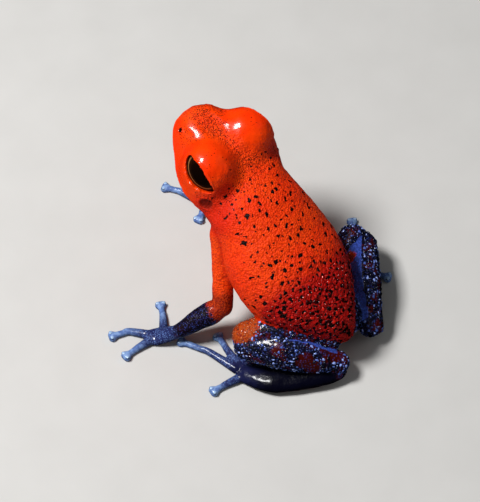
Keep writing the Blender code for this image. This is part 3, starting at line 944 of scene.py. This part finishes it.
for name, (kind, *limits) in maskForm.items():
    masks[name] = kinds[kind]
    for scale, low, high in limits:
        masks[name] = masks[name] * softStep(low, high, scales[scale])

# Masks by place, each with its radius: the head's places are sideways, forward and up.
# The mouth line, painted with shade, has its half width and where it fades; the specks thin out
# on the lids.
placeForm = {
    "rust": {"left": ((6.60, 6.30, 3.60), 2.00), "right": ((-4.2, 5.5, 3.2), 0.5)},
    "red": [((-3.20, 8.20, 3.2), 1.00), ((2.9, 10.4, 3.6), 1.00)],
    "bare": [((5.57, 11.25, 2.9), 0.95), ((5.20, 11.70, 2.1), 0.95),
             ((3.55, 12.28, 2.3), 0.95)],
    # painted shade behind the eyes: places and radii
    "behindEye": [((3.5, -1.9, 0.9), 2.3), ((2.6, -1.2, 2.3), 1.1)],
    "ear": 0.72,
    "nostril": 0.26,
    "knee": 3.0,
    "lidMargin": 0.7,
    "lidStipple": (0.12, 0.96, 1.22),
    "mouth": (0.09, -1.5, -0.9),
}

# The smooth stripe along each shank: the way it faces, its edges and how far it may reach
stripeForm = {
    "left": {"facing": (-0.669, -0.743, 0.10), "edge": (-0.02, 0.14), "shift": 0.0},
    "right": {"facing": (0.669, -0.743, 0.10), "edge": (0.08, 0.26), "shift": 0.20},
}


def nearAny(rows):
    return np.max([nearTo(place, radius) for place, radius in rows], 0)


def stripeMask(side, blur=0.05, ends=(2.0, 1.85)):
    form = stripeForm[side]
    share, value, nearest = facts["shank", side]
    shift = form["shift"]
    own = softStep(-blur, blur, np.minimum(others, shares["thigh", side] + shift) - share)
    own *= softStep(2 * blur + shift, shift, share - legShare) * legMask
    radial = points - nearest
    radial /= np.linalg.norm(radial, axis=1)[:, None]
    inner = radial @ unit(np.array(form["facing"]))
    return own * softStep(*form["edge"], inner) * softStep(*ends, value)


masks["steel"] = np.maximum(masks["steel"], masks["paleToes"])
masks["digits"] = np.maximum(masks["fingers"], masks["toes"])
masks["stripe"] = np.maximum(stripeMask("left"), stripeMask("right"))
masks["rust"] = legMask * nearAny([*placeForm["rust"].values(), *placeForm["red"]])
masks["bare"] = nearAny(placeForm["bare"])
masks["night"] = np.clip(np.maximum(masks["night"], legMask) - masks["rust"], 0, 1)
masks["behindEye"] = nearAny([(headPlace(sideways * sign, distance, level), radius)
                              for (sideways, distance, level), radius in placeForm["behindEye"]
                              for sign in (1, -1)])
masks["ear"] = nearAny([(place, placeForm["ear"]) for place in earPlaces])
masks["knee"] = legMask * nearTo(limbForm["left"]["knee"], placeForm["knee"])
# painted shade for the mouth line and nostrils
width, back, front = placeForm["mouth"]
mouth = bump(height - mouthLevel(ahead), width) * onBody * softStep(back, front, ahead)
masks["dimple"] = np.maximum(mouth, nearAny([(place, placeForm["nostril"])
                                             for place in nostrilPlaces]))
lidHalf = np.array(eyeForm["half"]) + placeForm["lidMargin"]
lidShare = np.min([np.linalg.norm(inEye(points, sign) / lidHalf, axis=1) for sign in (1, -1)], 0)
least, inside, outside = placeForm["lidStipple"]
masks["stipple"] *= least + (1 - least) * softStep(inside, outside, lidShare)


def addTable(mesh, name, *columns):
    layer = mesh.attributes.new(name, "FLOAT_COLOR", "POINT")
    table = np.ones((len(mesh.vertices), 4), np.float32)
    for k, column in enumerate(columns):
        table[:, k] = column
    layer.data.foreach_set("color", table.ravel())


# Each attribute of the skin holds three masks
maskTables = {
    "zones": ("night", "steel", "rust"),
    "marks": ("spots", "dense", "stipple"),
    "tones": ("crimson", "behindEye", "ear"),
    "legs": ("stripe", "bare", "onBody"),
    "small": ("dimple", "belly", "onArm"),
    "folds": ("creaseShade", "armRust", "nape"),
    "feet": ("tarsus", "digits", "palm"),
    "shine": ("gloss", "underside", "knee"),
    "crown": ("crown", "blueSole"),
}


def addPlaces(mesh, name, table):
    layer = mesh.attributes.new(name, "FLOAT_VECTOR", "POINT")
    layer.data.foreach_set("vector", table.astype(np.float32).ravel())


for name, columns in maskTables.items():
    addTable(skin.data, name, *[masks[column] for column in columns])
addPlaces(skin.data, "bodyPlace", np.stack([bodyAlong, bodyAround, np.zeros(len(points))], -1))
print("zones and marks are laid out")


def feed(tree, node, sockets):
    # A wire is linked to its socket, and any other value is set on it
    for key, value in sockets.items():
        if isinstance(value, Wire):
            tree.links.new(value.socket, node.inputs[key])
        else:
            node.inputs[key].default_value = value


# One socket of a material's nodes, which adds Math nodes as values are worked out
class Wire:
    def __init__(self, tree, socket=None):
        self.tree = tree
        self.socket = socket

    def node(self, kind, settings=None, sockets=None, out=0):
        made = self.tree.nodes.new("ShaderNode" + kind)
        for key, value in (settings or {}).items():
            setattr(made, key, value)
        feed(self.tree, made, sockets or {})
        return Wire(self.tree, made.outputs[out])

    def out(self, name):
        return Wire(self.tree, self.socket.node.outputs[name])

    def maths(self, operation, *values):
        return self.node("Math", {"operation": operation}, dict(enumerate(values)))

    def __add__(self, other):
        return self.maths("ADD", self, other)

    __radd__ = __add__

    def __sub__(self, other):
        return self.maths("SUBTRACT", self, other)

    def __rsub__(self, other):
        return self.maths("SUBTRACT", other, self)

    def __mul__(self, other):
        return self.maths("MULTIPLY", self, other)

    __rmul__ = __mul__

    def __truediv__(self, other):
        return self.maths("DIVIDE", self, other)

    def clamped(self):
        return self.node("Clamp", None, {"Value": self})

    def edge(self, low, high):
        return self.node("MapRange", {"interpolation_type": "SMOOTHSTEP"},
                         {"Value": self, "From Min": low, "From Max": high})

    def atLeast(self, other):
        return self.maths("MAXIMUM", self, other)

    def mixed(self, first, second):
        # This value is the share of the second colour
        return self.node("Mix", {"data_type": "RGBA"}, {0: self, 6: first, 7: second}, 2)

    def scaled(self, factor):
        return self.node("VectorMath", {"operation": "SCALE"}, {0: self, "Scale": factor})

    def place(self):
        # Object coordinates in millimetres
        return self.node("TexCoord", out="Object").scaled(1 / mm)

    def attribute(self, name, out="Color"):
        return self.node("Attribute", {"attribute_name": name}, out=out)

    def channels(self):
        split = self.node("SeparateColor", None, {0: self})
        return split, split.out("Green"), split.out("Blue")

    def noise(self, scale, detail=2.0, out="Fac"):
        return self.node("TexNoise", None, {"Vector": self, "Scale": scale, "Detail": detail},
                         out)

    def cells(self, scale, dimensions="3D"):
        return self.node("TexVoronoi", {"voronoi_dimensions": dimensions},
                         {"Vector": self, "Scale": scale, "Randomness": 0.72})

    def softCells(self, scale, smoothness):
        return self.node("TexVoronoi", {"feature": "SMOOTH_F1"},
                         {"Vector": self, "Scale": scale, "Smoothness": smoothness})

    def bump(self, strength, distance):
        return self.node("Bump", None, {"Strength": strength, "Distance": distance,
                                        "Height": self}, "Normal")


def rgb(red, green, blue):
    return (red, green, blue, 1)


def newFinish(name):
    material = bpy.data.materials.new(name)
    material.use_nodes = True
    tree = material.node_tree
    return material, Wire(tree), tree.nodes["Principled BSDF"]


skinLook = {
    "orange": rgb(0.90, 0.030, 0.0008),
    "brightOrange": rgb(0.98, 0.070, 0.0015),
    # the rump's deeper red, darkened as painted shade
    "crimson": rgb(0.40, 0.0025, 0.0010),
    # painted shade, laid in the pebbles' hollows, in the creases and behind the eyes
    "shade": rgb(0.48, 0.009, 0.0008),
    "blackSpot": rgb(0.006, 0.001, 0.001),
    "earBrown": rgb(0.15, 0.006, 0.001),
    # painted shade for the mouth line and nostrils
    "pitShade": rgb(0.020, 0.002, 0.001),
    "belly": rgb(0.80, 0.20, 0.06),
    "rust": rgb(0.54, 0.044, 0.003),
    "kneeRust": rgb(0.42, 0.060, 0.003),
    "darkRust": rgb(0.22, 0.010, 0.003),
    "night": rgb(0.004, 0.004, 0.012),
    "forearm": rgb(0.006, 0.003, 0.007),
    "violet": rgb(0.040, 0.034, 0.150),
    "maroon": rgb(0.060, 0.003, 0.001),
    "navy": rgb(0.0015, 0.0015, 0.007),
    "smoothBlue": rgb(0.050, 0.105, 0.520),
    "steel": rgb(0.110, 0.190, 0.450),
    "darkSteel": rgb(0.016, 0.019, 0.085),
    # painted sheen on the fingers and toes
    "sheenSteel": rgb(0.27, 0.42, 0.70),
    "coatRoughness": 0.10,
    "coatIor": 1.36,
    "specular": 0.12,
    "bumpDepth": 0.00011,
}

# How fine the skin's patterns are, in cells or waves to a millimetre
skinGrain = {
    "wobble": 2.4,
    "fine": 9.0,
    "broad": 0.45,
    "ragged": 3.2,
    "jitter": 6.5,
    "patches": 1.3,
    "blotches": 0.9,
    "mottle": 6.0,
    # patches of painted sheen on the fingers and toes
    "sheenSpots": 3.0,
    "wrinkles": 11.0,
    "specks": 8.0,
    "dots": 3.4,
    "pebbles": 7.5,
    "lumps": 3.3,
}

# Black spots: cells to a millimetre, least and greatest size, share of cells that are filled
spotForm = {
    "sparse": (1.35, 0.12, 0.27, 0.85),
    "small": (2.3, 0.12, 0.24, 0.20),
    "dense": (2.0, 0.22, 0.42, 0.90),
}


# Pale dots of arms and legs: cells to a millimetre, size, softness, share of empty cells
dotForm = {
    "flecks": (9.5, 0.44, 0.14, 0.25),
    "grains": (6.6, 0.46, 0.16, 0.18),
}


def skinFinish():
    look, scale = skinLook, skinGrain
    material, wire, shader = newFinish("wetSkin")
    place = wire.place()

    def table(name):
        return wire.attribute(name).channels()

    night, steel, rust = table("zones")
    spotMask, denseMask, stipple = table("marks")
    crimson, behindEye, ear = table("tones")
    stripe, bare, onBody = table("legs")
    dimple, belly, onArm = table("small")
    creaseShade, armRust, nape = table("folds")
    tarsus, digits, palm = table("feet")
    gloss, underside, knee = table("shine")
    crown, blueSole, _ = table("crown")

    warp = wire.node("VectorMath", {"operation": "MULTIPLY_ADD"},
                     {0: place.noise(scale["wobble"], out="Color"), 1: (0.45, 0.45, 0.0),
                      2: wire.attribute("bodyPlace", "Vector")})
    fine = place.noise(scale["fine"])
    broad = place.noise(scale["broad"], 3)
    ragged = place.noise(scale["ragged"], 3) - 0.5
    jitter = place.noise(scale["jitter"]) - 0.5

    def layered(tone, *layers):
        # Each layer's share lets its colour cover what lies below
        for share, colour in layers:
            tone = share.mixed(tone, look[colour])
        return tone

    def dotted(kind):
        # Round dots in some of the cells, and a random value for each cell
        fineness, size, softness, empty = dotForm[kind]
        cell = place.cells(fineness)
        chance, pick, _ = cell.out("Color").channels()
        return (size - cell).edge(0.0, softness) * (chance - empty).edge(0.0, 0.1), pick

    def spots(kind, mask):
        # Each cell has its own size, and a share of the cells stays empty
        fineness, low, high, filled = spotForm[kind]
        cell = warp.cells(fineness, "2D")
        chance, pick, _ = cell.out("Color").channels()
        size = (low + chance * (high - low)) * (0.55 + mask * 0.45)
        there = (mask * filled - pick).edge(-0.04, 0.02)
        return (size + jitter * 0.26 - cell).edge(0.0, 0.06) * there

    sparse = spots("sparse", spotMask * (1 - nape * 0.5))
    small = spots("small", spotMask)
    dense = spots("dense", denseMask)
    speck = place.cells(scale["specks"])
    speckChance, _, _ = speck.out("Color").channels()
    patch = (place.noise(scale["patches"]) - 0.5) * 1.6
    dust = (stipple * 1.15 + patch * 0.9 - speckChance).edge(0, 0.2)
    specks = (0.40 - speck).edge(0.0, 0.10) * dust * stipple.edge(0.02, 0.3)
    coarse = place.cells(scale["dots"])
    coarseChance, _, _ = coarse.out("Color").channels()
    dots = (0.10 + coarseChance * 0.16 + jitter * 0.12 - coarse).edge(0.0, 0.06)
    dots = dots * (stipple * 0.6 + crown * 0.45 + spotMask * 0.22 + patch * 0.5
                   - coarseChance).edge(-0.02, 0.05)
    pebble = place.softCells(scale["pebbles"], 0.7)
    lumps = place.softCells(scale["lumps"], 0.5)

    # Orange to crimson skin with its marks; the crimson is darkened as painted shade, and
    # painted shade lies in hollows, creases, the mouth line, nostrils and behind the eyes
    marks = sparse.atLeast(dense).atLeast(small * 0.9).atLeast(specks * 0.92).atLeast(dots)
    armSpeck = (0.24 - coarse).edge(0.0, 0.06) * onArm * (0.16 - coarseChance).edge(-0.01, 0.01)
    marks = marks.atLeast(armSpeck * 0.8)
    # painted shade behind the eyes also dims the orange there
    bright = (broad.edge(0.35, 0.65) * 0.45 + onArm * 0.75 + (1 - gloss) * 0.30 * onBody
              + stipple * 0.25 - behindEye * 0.6).clamped()
    tone = layered(
        bright.mixed(look["orange"], look["brightOrange"]),
        # painted shade in the hollows between the pebbles
        ((1 - gloss * 0.85) * pebble.edge(0.25, 0.75) * 0.60, "shade"),
        # painted shade in the creases
        (creaseShade * 0.75, "shade"),
        # painted shade behind the eyes
        ((behindEye * 0.62 + ragged * 0.2 * behindEye).clamped(), "shade"),
        # the rump's deeper red, darkened as painted shade
        ((crimson + ragged * 0.45).edge(0.25, 0.75), "crimson"),
        (belly * 0.6, "belly"),
        (ear.edge(0.15, 0.75) * 0.8, "earBrown"),
        (marks, "blackSpot"),
        # painted shade in the mouth line and nostrils
        (dimple.edge(0.1, 0.8), "pitShade"))
    rustTone = layered((fine - 0.40).edge(0.0, 0.25).mixed(look["darkRust"], look["rust"]),
                       (knee * (fine - 0.36).edge(0.0, 0.2), "kneeRust"))
    tone = (rust + ragged * 0.5).edge(0.30, 0.60).mixed(tone, rustTone)
    tone = (armRust + ragged * 0.7).clamped().edge(0.1, 0.9).mixed(tone, rustTone)

    # The dark skin of arms and legs, with the smooth blue stripe
    blotch = (place.noise(scale["blotches"]) + ragged * 0.25).edge(0.50, 0.62)
    dark = blotch.atLeast(bare.edge(0.2, 0.6)).mixed(look["night"], look["maroon"])
    sole = layered(
        look["navy"],
        ((blueSole * 0.6 + ragged * 0.6 * blueSole).clamped(), "darkSteel"),
        ((underside + bare + ragged * 0.6 - 0.1 - blueSole * 0.5).clamped(), "maroon"))
    arm = onArm * night.edge(0.02, 0.4) * (1 - steel)
    dark = layered(tarsus.mixed(dark, sole), (arm, "forearm"))
    fleck, _ = dotted("flecks")
    grain, grainPick = dotted("grains")
    grainTone = grainPick.edge(0.35, 1.0).mixed(look["violet"], look["smoothBlue"])
    onLeg = (1 - onBody - onArm).clamped() * (1 - tarsus)
    dark = (fleck * arm * 0.70).mixed(dark, grainTone)
    dark = (grain * onLeg * 0.45).mixed(dark, grainTone)
    ripple = (0.5 - pebble).edge(-0.1, 0.25)
    blue = (ripple * 0.6 + 0.45 + ragged * 0.5).clamped()
    blue = blue.mixed(look["darkSteel"], look["smoothBlue"])
    dark = (stripe + ragged * 0.45).edge(0.38, 0.62).mixed(dark, blue)
    tone = (night + ragged * 0.55 + jitter * 0.8).edge(0.34, 0.68).mixed(tone, dark)

    # Steel-blue hands and feet, with a painted sheen on the fingers and toes
    mottle = (place.noise(scale["mottle"], 3) - 0.5).edge(-0.10, 0.12)
    # painted sheen: pale patches on the fingers and toes
    pale = (place.noise(scale["sheenSpots"], 1) - 0.42).edge(0, 0.2)
    hand = layered(
        look["darkSteel"],
        ((mottle * 0.25 + digits * 0.80 - palm * 0.12).clamped(), "steel"),
        (fleck * (1 - digits * 0.6) * 0.90, "steel"),
        (pale * digits * 0.6, "sheenSteel"))
    tone = (steel + ragged * 0.5 + jitter * 0.3).edge(0.25, 0.55).mixed(tone, hand)

    # Relief and gloss
    wrinkle = place.noise(scale["wrinkles"], 3)
    amount = (0.12 + 0.88 * (1 - gloss) * (1 - dimple)) * (1 - steel * 0.6) * (
        1 - stripe * 0.6) * (1 - tarsus * 0.55) * (1 - night * 0.5)
    relief = ((1 - pebble) * (0.65 + crimson * 0.4) + (1 - lumps) * (0.25 + crimson * 1.2)
              + wrinkle * 0.45 - marks * 0.15) * amount
    rough = 0.44 - gloss * 0.22 - night * 0.18 + stipple * 0.10 + wrinkle * 0.10
    coat = (0.05 + gloss * 0.80 - stipple * 0.25 + night * 0.60 - tarsus * 0.15 + rust * 0.3
            + onArm * 0.10).clamped()
    feed(wire.tree, shader, {
        "Base Color": tone,
        "Roughness": rough,
        "Coat Weight": coat,
        "Normal": relief.bump(1.0, look["bumpDepth"]),
        "Coat Roughness": look["coatRoughness"],
        "Coat IOR": look["coatIor"],
        "Specular IOR Level": look["specular"],
    })
    return material


skin.data.materials.clear()
skin.data.materials.append(skinFinish())
pickOnly(skin)
bpy.ops.object.shade_smooth()


def toWorld(mesh):
    setPoints(mesh, (meshPoints(mesh) + standStep) * mm)


# Granules: raised domes over the legs, the left knee and the rump. Half widths and gaps are in
# millimetres, and the height is a share of the half width. Kept is the share that stays, on the
# legs with its sway between clumps and its least. Tones scale the tint, on the legs as base,
# rise and power of a random shine. Dark is the share of black ones and their tone.
granuleForm = {
    "leg": {"half": (0.040, 0.125), "gap": 0.030, "tries": 60000, "seed": 22, "height": 0.62,
            "kept": (0.82, 0.40, 0.15), "clumps": (1.1, 21), "tint": (0.085, 0.150, 0.540),
            "tones": (0.15, 1.35, 1.2), "pale": (0.60, 0.66, 0.54), "paleFrom": 0.62,
            "dark": (0.36, 0.05)},
    "knee": {"half": (0.035, 0.075), "gap": 0.075, "tries": 12000, "seed": 23, "height": 0.62,
             "kept": 0.6, "tint": (0.56, 0.13, 0.04), "tones": (0.2, 1.2)},
    "rump": {"half": (0.070, 0.150), "gap": 0.075, "tries": 12000, "seed": 24,
             "height": 0.465, "kept": 0.75, "tint": (0.56, 0.010, 0.003), "tones": (0.5, 1.2),
             "dark": (0.25, 0.08)},
}
granuleShape = {"lobes": 0.16, "long": (0.95, 1.45), "wide": (0.65, 1.0), "lowest": 0.12,
                "inside": 0.45, "patch": 0.0015}


def skinChart():
    # An unwrap of the skin's own shape, one pair of values for each face corner
    with editing(skin):
        bpy.ops.uv.smart_project(angle_limit=math.radians(66), island_margin=0.002)
    layer = skin.data.uv_layers.active
    table = readTable(layer.uv, "vector", 2)
    skin.data.uv_layers.remove(layer)
    return table


chart = skinChart()
skinCorners = meshTriangles(skin.data)
skinLoops = meshTriangles(skin.data, "loops")


def scatter(weights, form):
    # Random places that keep clear of each other, each with its own size
    a, b, c = (points[skinCorners[:, k]] for k in range(3))
    normal = np.cross(b - a, c - a)
    chance = np.linalg.norm(normal, axis=1) / 2 * weights[skinCorners].mean(1)
    tries, gap = form["tries"], form["gap"]
    dice = np.random.default_rng(form["seed"])
    picks = dice.choice(len(skinCorners), tries, p=chance / chance.sum())
    r, s = np.sqrt(dice.random(tries)), dice.random(tries)
    shares = np.stack([1 - r, r * (1 - s), r * s], -1)
    places = (shares[:, :, None] * points[skinCorners[picks]]).sum(1)
    low, high = form["half"]
    half = low + (high - low) * dice.random(tries) ** 1.5
    order = np.argsort(-half[:tries // 4])
    order = np.concatenate([order, np.arange(tries // 4, tries)])
    cell = 2 * high + gap
    keys = np.floor(places / cell).astype(int)
    taken = {}
    kept = []
    around = [(x, y, z) for x in (-1, 0, 1) for y in (-1, 0, 1) for z in (-1, 0, 1)]
    spots, sizes = places.tolist(), half.tolist()
    for i in order.tolist():
        x, y, z = spots[i]
        kx, ky, kz = keys[i].tolist()
        size = sizes[i]
        if not any((x - ox) ** 2 + (y - oy) ** 2 + (z - oz) ** 2 < (size + other + gap) ** 2
                   for dx, dy, dz in around
                   for ox, oy, oz, other in taken.get((kx + dx, ky + dy, kz + dz), ())):
            taken.setdefault((kx, ky, kz), []).append((x, y, z, size))
            kept.append(i)
    kept = np.array(kept)
    normals = normal[picks[kept]] / np.linalg.norm(normal[picks[kept]], axis=1)[:, None]
    roots = (shares[kept][:, :, None] * chart[skinLoops[picks[kept]]]).sum(1)

    def here(values):
        return (values[skinCorners[picks[kept]]] * shares[kept]).sum(1)

    return places[kept], normals, half[kept], roots, here, dice


def domeShape():
    bpy.ops.object.select_all(action="DESELECT")
    bpy.ops.mesh.primitive_ico_sphere_add(subdivisions=2, radius=1)
    dome = bpy.context.object
    with editing(dome):
        bpy.ops.mesh.bisect(plane_co=(0, 0, -0.30), plane_no=(0, 0, 1), clear_inner=True,
                            use_fill=True)
    return dome


def copies(name, source, places, normals, sizes, heights, turns, tints, roots, lobes=0.0):
    # Copies of a dome at places of the skin, in one mesh; lobes make their edges irregular
    shape = meshPoints(source.data)
    triangles = meshTriangles(source.data)
    helper = np.where(np.abs(normals[:, 2:]) < 0.9, (0.0, 0.0, 1.0), (1.0, 0.0, 0.0))
    x = np.cross(helper, normals)
    x /= np.linalg.norm(x, axis=1)[:, None]
    y = np.cross(normals, x)
    c, s = np.cos(turns)[:, None], np.sin(turns)[:, None]
    x, y = x * c + y * s, y * c - x * s
    angle = np.arctan2(shape[:, 1], shape[:, 0])[None]
    phase = turns[:, None] * 5
    swell = np.sin(3 * angle + phase) + 0.7 * np.sin(5 * angle + 2 * phase)
    swell = 1 + lobes * swell[:, :, None]
    verts = (places[:, None] + x[:, None] * (shape[None, :, :1] * sizes[:, None, :1] * swell)
             + y[:, None] * (shape[None, :, 1:2] * sizes[:, None, 1:2] * swell)
             + normals[:, None] * (shape[None, :, 2:] * heights[:, None, None]))
    count = len(shape)
    faces = (triangles[None] + (np.arange(len(places)) * count)[:, None, None]).reshape(-1, 3)
    made = addMesh(name, verts.reshape(-1, 3).tolist(), faces.tolist())
    addTable(made.data, "tint", *np.repeat(tints, count, axis=0).T)
    addTable(made.data, "rise", np.tile(np.clip(shape[:, 2], 0, 1), len(places)))
    # Each copy is a small patch at its root's place on the skin's own unwrap
    patch = (roots[:, None] + shape[None, :, :2] * granuleShape["patch"]).reshape(-1, 2)
    layer = made.data.uv_layers.new(name="OFBake")
    layer.uv.foreach_set("vector", patch[faces.ravel()].astype(np.float32).ravel())
    pickOnly(made)
    bpy.ops.object.shade_smooth()
    return made


rust, stripe, bare = masks["rust"], masks["stripe"], masks["bare"]
onLegs = (legMask * (1 - masks["steel"]) * softStep(0.60, 0.35, stripe) * (1 - bare)
          * softStep(2.06, 1.96, legValue))
granuleWeights = {
    "leg": onLegs * (1 - softStep(0.40, 0.65, rust)),
    "knee": np.clip(rust * legMask, 0, 1),
    "rump": onBody * softStep(0.55, 0.85, masks["crimson"]),
}
dome = domeShape()
batches = []
for kind, weights in granuleWeights.items():
    form = granuleForm[kind]
    spots, normals, half, roots, here, dice = scatter(weights, form)
    amount = len(spots)
    keep = (here(weights) > granuleShape["inside"]) & (spots[:, 2] > granuleShape["lowest"])
    if kind == "leg":
        share, sway, least = form["kept"]
        clumps = softWaves(spots, *form["clumps"])
        keep &= dice.random(amount) < np.clip(share + sway * clumps, least, 1)
        shine = dice.random((amount, 1))
        base, gain, power = form["tones"]
        tints = np.array(form["tint"]) * (base + gain * shine ** power)
        tints += np.array(form["pale"]) * np.maximum(shine - form["paleFrom"], 0)
    else:
        keep &= dice.random(amount) < form["kept"]
        tints = np.array(form["tint"]) * dice.uniform(*form["tones"], (amount, 1))
    if "dark" in form:
        share, tone = form["dark"]
        tints *= np.where(dice.random((amount, 1)) < share, tone, 1)
    sizes = np.stack([half * dice.uniform(*granuleShape[way], amount)
                      for way in ("long", "wide")], -1)
    turns = dice.uniform(0, math.tau, amount)
    batches.append([table[keep] for table in (spots, normals, sizes, half * form["height"],
                                              turns, tints, roots)])
    print(keep.sum(), kind, "granules")
granules = copies("granules", dome, *[np.concatenate(tables) for tables in zip(*batches)],
                  granuleShape["lobes"])


def granuleFinish():
    material, wire, shader = newFinish("wetGranules")
    grain = wire.place().noise(12.0)
    top = wire.attribute("rise").channels()[0] * 1.2 + grain * 1.8 - 1.10
    feed(wire.tree, shader, {
        "Base Color": top.edge(0.0, 0.6).mixed(rgb(0.003, 0.003, 0.010),
                                               wire.attribute("tint")),
        "Roughness": 0.20 + grain * 0.1,
        "Normal": grain.bump(0.3, 0.00002),
        "Coat Weight": 0.7,
        "Coat Roughness": 0.07,
        "Specular IOR Level": 0.35,
    })
    return material


granules.data.materials.append(granuleFinish())


# Two raised scutes on the back of each finger and toe pad
scuteForm = {
    "half": (0.20, 0.155),
    "height": 0.10,
    "apart": 0.20,
    "forward": 0.04,
    "above": 0.15,
    "tint": (0.34, 0.50, 0.74),
}


def scuteRows():
    # Place and turn of each scute
    for pose in limbForm.values():
        for _, root, bend, tip in digitLines(pose):
            along, side = tipDirections(bend, tip)
            middle = tip + along * scuteForm["forward"] + np.array((0, 0, scuteForm["above"]))
            for sign in (1, -1):
                yield (middle + side * (sign * scuteForm["apart"]),
                       math.atan2(side[1], side[0]) - math.pi / 2)


scutePlaces, scuteTurns = (np.array(column) for column in zip(*scuteRows()))
count = len(scutePlaces)
chartAt = np.zeros((len(points), 2))
chartAt[skinCorners.ravel()] = chart[skinLoops.ravel()]
roots = np.array([chartAt[awayFrom(points, place).argmin()] for place in scutePlaces])
scutes = copies("scutes", dome, scutePlaces, np.tile((0.0, 0.0, 1.0), (count, 1)),
                np.tile(scuteForm["half"], (count, 1)), np.full(count, scuteForm["height"]),
                scuteTurns, np.tile(scuteForm["tint"], (count, 1)), roots)
scutes.data.materials.append(granuleFinish())
bpy.data.objects.remove(dome)

# The eyes fill the space behind the lids
eyeLook = {
    "ball": rgb(0.0035, 0.0012, 0.0006),
    "iris": rgb(0.014, 0.004, 0.0015),
    "gold": rgb(0.30, 0.13, 0.04),
}


def eyeBall(name, sign):
    bpy.ops.object.select_all(action="DESELECT")
    bpy.ops.mesh.primitive_uv_sphere_add(segments=64, ring_count=40, radius=1)
    ball = bpy.context.object
    ball.name = name
    # The sphere's poles lie on the outward axis
    half = np.array(eyeForm["half"]) + eyeForm["ballGrowth"]
    local = meshPoints(ball.data)[:, [2, 0, 1]] * half
    setPoints(ball.data, eyePlace(sign) + local @ np.stack(eyeDirections(sign)))
    addPlaces(ball.data, "eyeLocal", local[:, [1, 2, 0]])
    with editing(ball):
        bpy.ops.mesh.normals_make_consistent(inside=False)
    bpy.ops.object.shade_smooth()
    return ball


def eyeFinish():
    # A dark ball with a brown rim and a thin gold line below
    material, wire, shader = newFinish("darkEye")
    along = wire.node("SeparateXYZ", None, {0: wire.attribute("eyeLocal", "Vector")})
    across = along.out("Y")
    halfLength, _, below = eyeForm["opening"]
    grain = wire.place().noise(6.0, 3)
    reach = (along * along) / halfLength ** 2 + (across * across) / below ** 2
    ring = (reach - 0.70).atLeast(0.70 - reach)
    line = (0.09 - ring).edge(0.0, 0.05) * across.edge(0.05, -0.25)
    tone = (reach + grain * 0.3).edge(0.35, 0.75).mixed(eyeLook["ball"], eyeLook["iris"])
    feed(wire.tree, shader, {
        "Base Color": (line * (0.5 + grain * 0.6)).clamped().mixed(tone, eyeLook["gold"]),
        "Roughness": 0.10 + grain * 0.08,
        "Coat Weight": 0.05,
        "Coat Roughness": 0.03,
        "Specular IOR Level": 0.10,
    })
    return material


finish = eyeFinish()
for side, sign in (("left", 1), ("right", -1)):
    ball = eyeBall("eyeBall_" + side, sign)
    toWorld(ball.data)
    ball.data.materials.append(finish)
    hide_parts("eye_" + side)
    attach(ball, "root")

for piece in (skin, granules, scutes):
    toWorld(piece.data)
    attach(piece, "root")
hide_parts(*[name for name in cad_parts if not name.startswith("eye")])
print("the eyes are in")

# The photograph's view: the camera looks at a place on the floor under the frog
viewForm = {
    "azimuth": 132,
    "elevation": 55,
    "distance": 0.2,
    "pixelsPerMetre": 13200,
    "target": (0.0, 0.0, 0.0),
    "size": (480, 502),
    "sensor": 36,
}

roomLook = {
    "floorSize": 1.2,
    "floor": (rgb(0.53, 0.52, 0.50), rgb(0.59, 0.58, 0.56)),
    "room": rgb(0.95, 0.97, 1.0),
    "roomStrength": 0.10,
    "aim": (0, 0, 0.006),
    # place, size, watts
    "keyLight": ((0.066, -0.066, 0.176), 0.050, 0.49),
    "fillLight": ((-0.16, 0.14, 0.16), 0.16, 0.045),
    "sideLight": ((0.20, 0.10, 0.09), 0.12, 0.035),
}


def addFloor():
    bpy.ops.object.select_all(action="DESELECT")
    bpy.ops.mesh.primitive_grid_add(x_subdivisions=40, y_subdivisions=40,
                                    size=roomLook["floorSize"])
    floor = bpy.context.object
    floor.name = "paleFloor"
    material, wire, shader = newFinish("paleGround")
    grain = wire.place().noise(0.25, 4)
    feed(wire.tree, shader, {"Base Color": grain.mixed(*roomLook["floor"]),
                             "Roughness": 0.75 + grain * 0.1})
    floor.data.materials.append(material)
    floor.visible_glossy = False
    floor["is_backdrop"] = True


def lookAlong(shape, course):
    shape.rotation_mode = "QUATERNION"
    shape.rotation_quaternion = course.to_track_quat("-Z", "Y")


def addCamera():
    azimuth, elevation = math.radians(viewForm["azimuth"]), math.radians(viewForm["elevation"])
    back = Vector((math.sin(azimuth) * math.cos(elevation),
                   -math.cos(azimuth) * math.cos(elevation), math.sin(elevation)))
    data = bpy.data.cameras.new("camera")
    camera = addObject("camera", data)
    target = Vector((np.array(viewForm["target"]) + standStep) * mm)
    camera.location = target + back * viewForm["distance"]
    lookAlong(camera, -back)
    data.sensor_width = viewForm["sensor"]
    data.lens = (viewForm["sensor"] * viewForm["pixelsPerMetre"] * viewForm["distance"]
                 / max(viewForm["size"]))
    data.clip_start, data.clip_end = 0.005, 5
    bpy.context.scene.camera = camera


def addLights():
    for name in ("keyLight", "fillLight", "sideLight"):
        place, size, watts = roomLook[name]
        data = bpy.data.lights.new(name, "AREA")
        data.size = size
        data.energy = watts
        lamp = addObject(name, data)
        lamp.location = place
        lamp.visible_glossy = name == "keyLight"
        lookAlong(lamp, Vector(roomLook["aim"]) - Vector(place))
    world = bpy.data.worlds.new("softRoom")
    world.use_nodes = True
    background = world.node_tree.nodes["Background"]
    background.inputs["Color"].default_value = roomLook["room"]
    background.inputs["Strength"].default_value = roomLook["roomStrength"]
    bpy.context.scene.world = world
    world.cycles_visibility.glossy = False
    bpy.context.scene.view_settings.view_transform = "Standard"


addFloor()
addLights()
addCamera()
low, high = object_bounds()
{"cad": [list(cadLow), list(cadHigh)], "visual": [list(low), list(high)]}
print("the frog measures", [round((b - a) / mm, 2) for a, b in zip(low, high)], "mm")
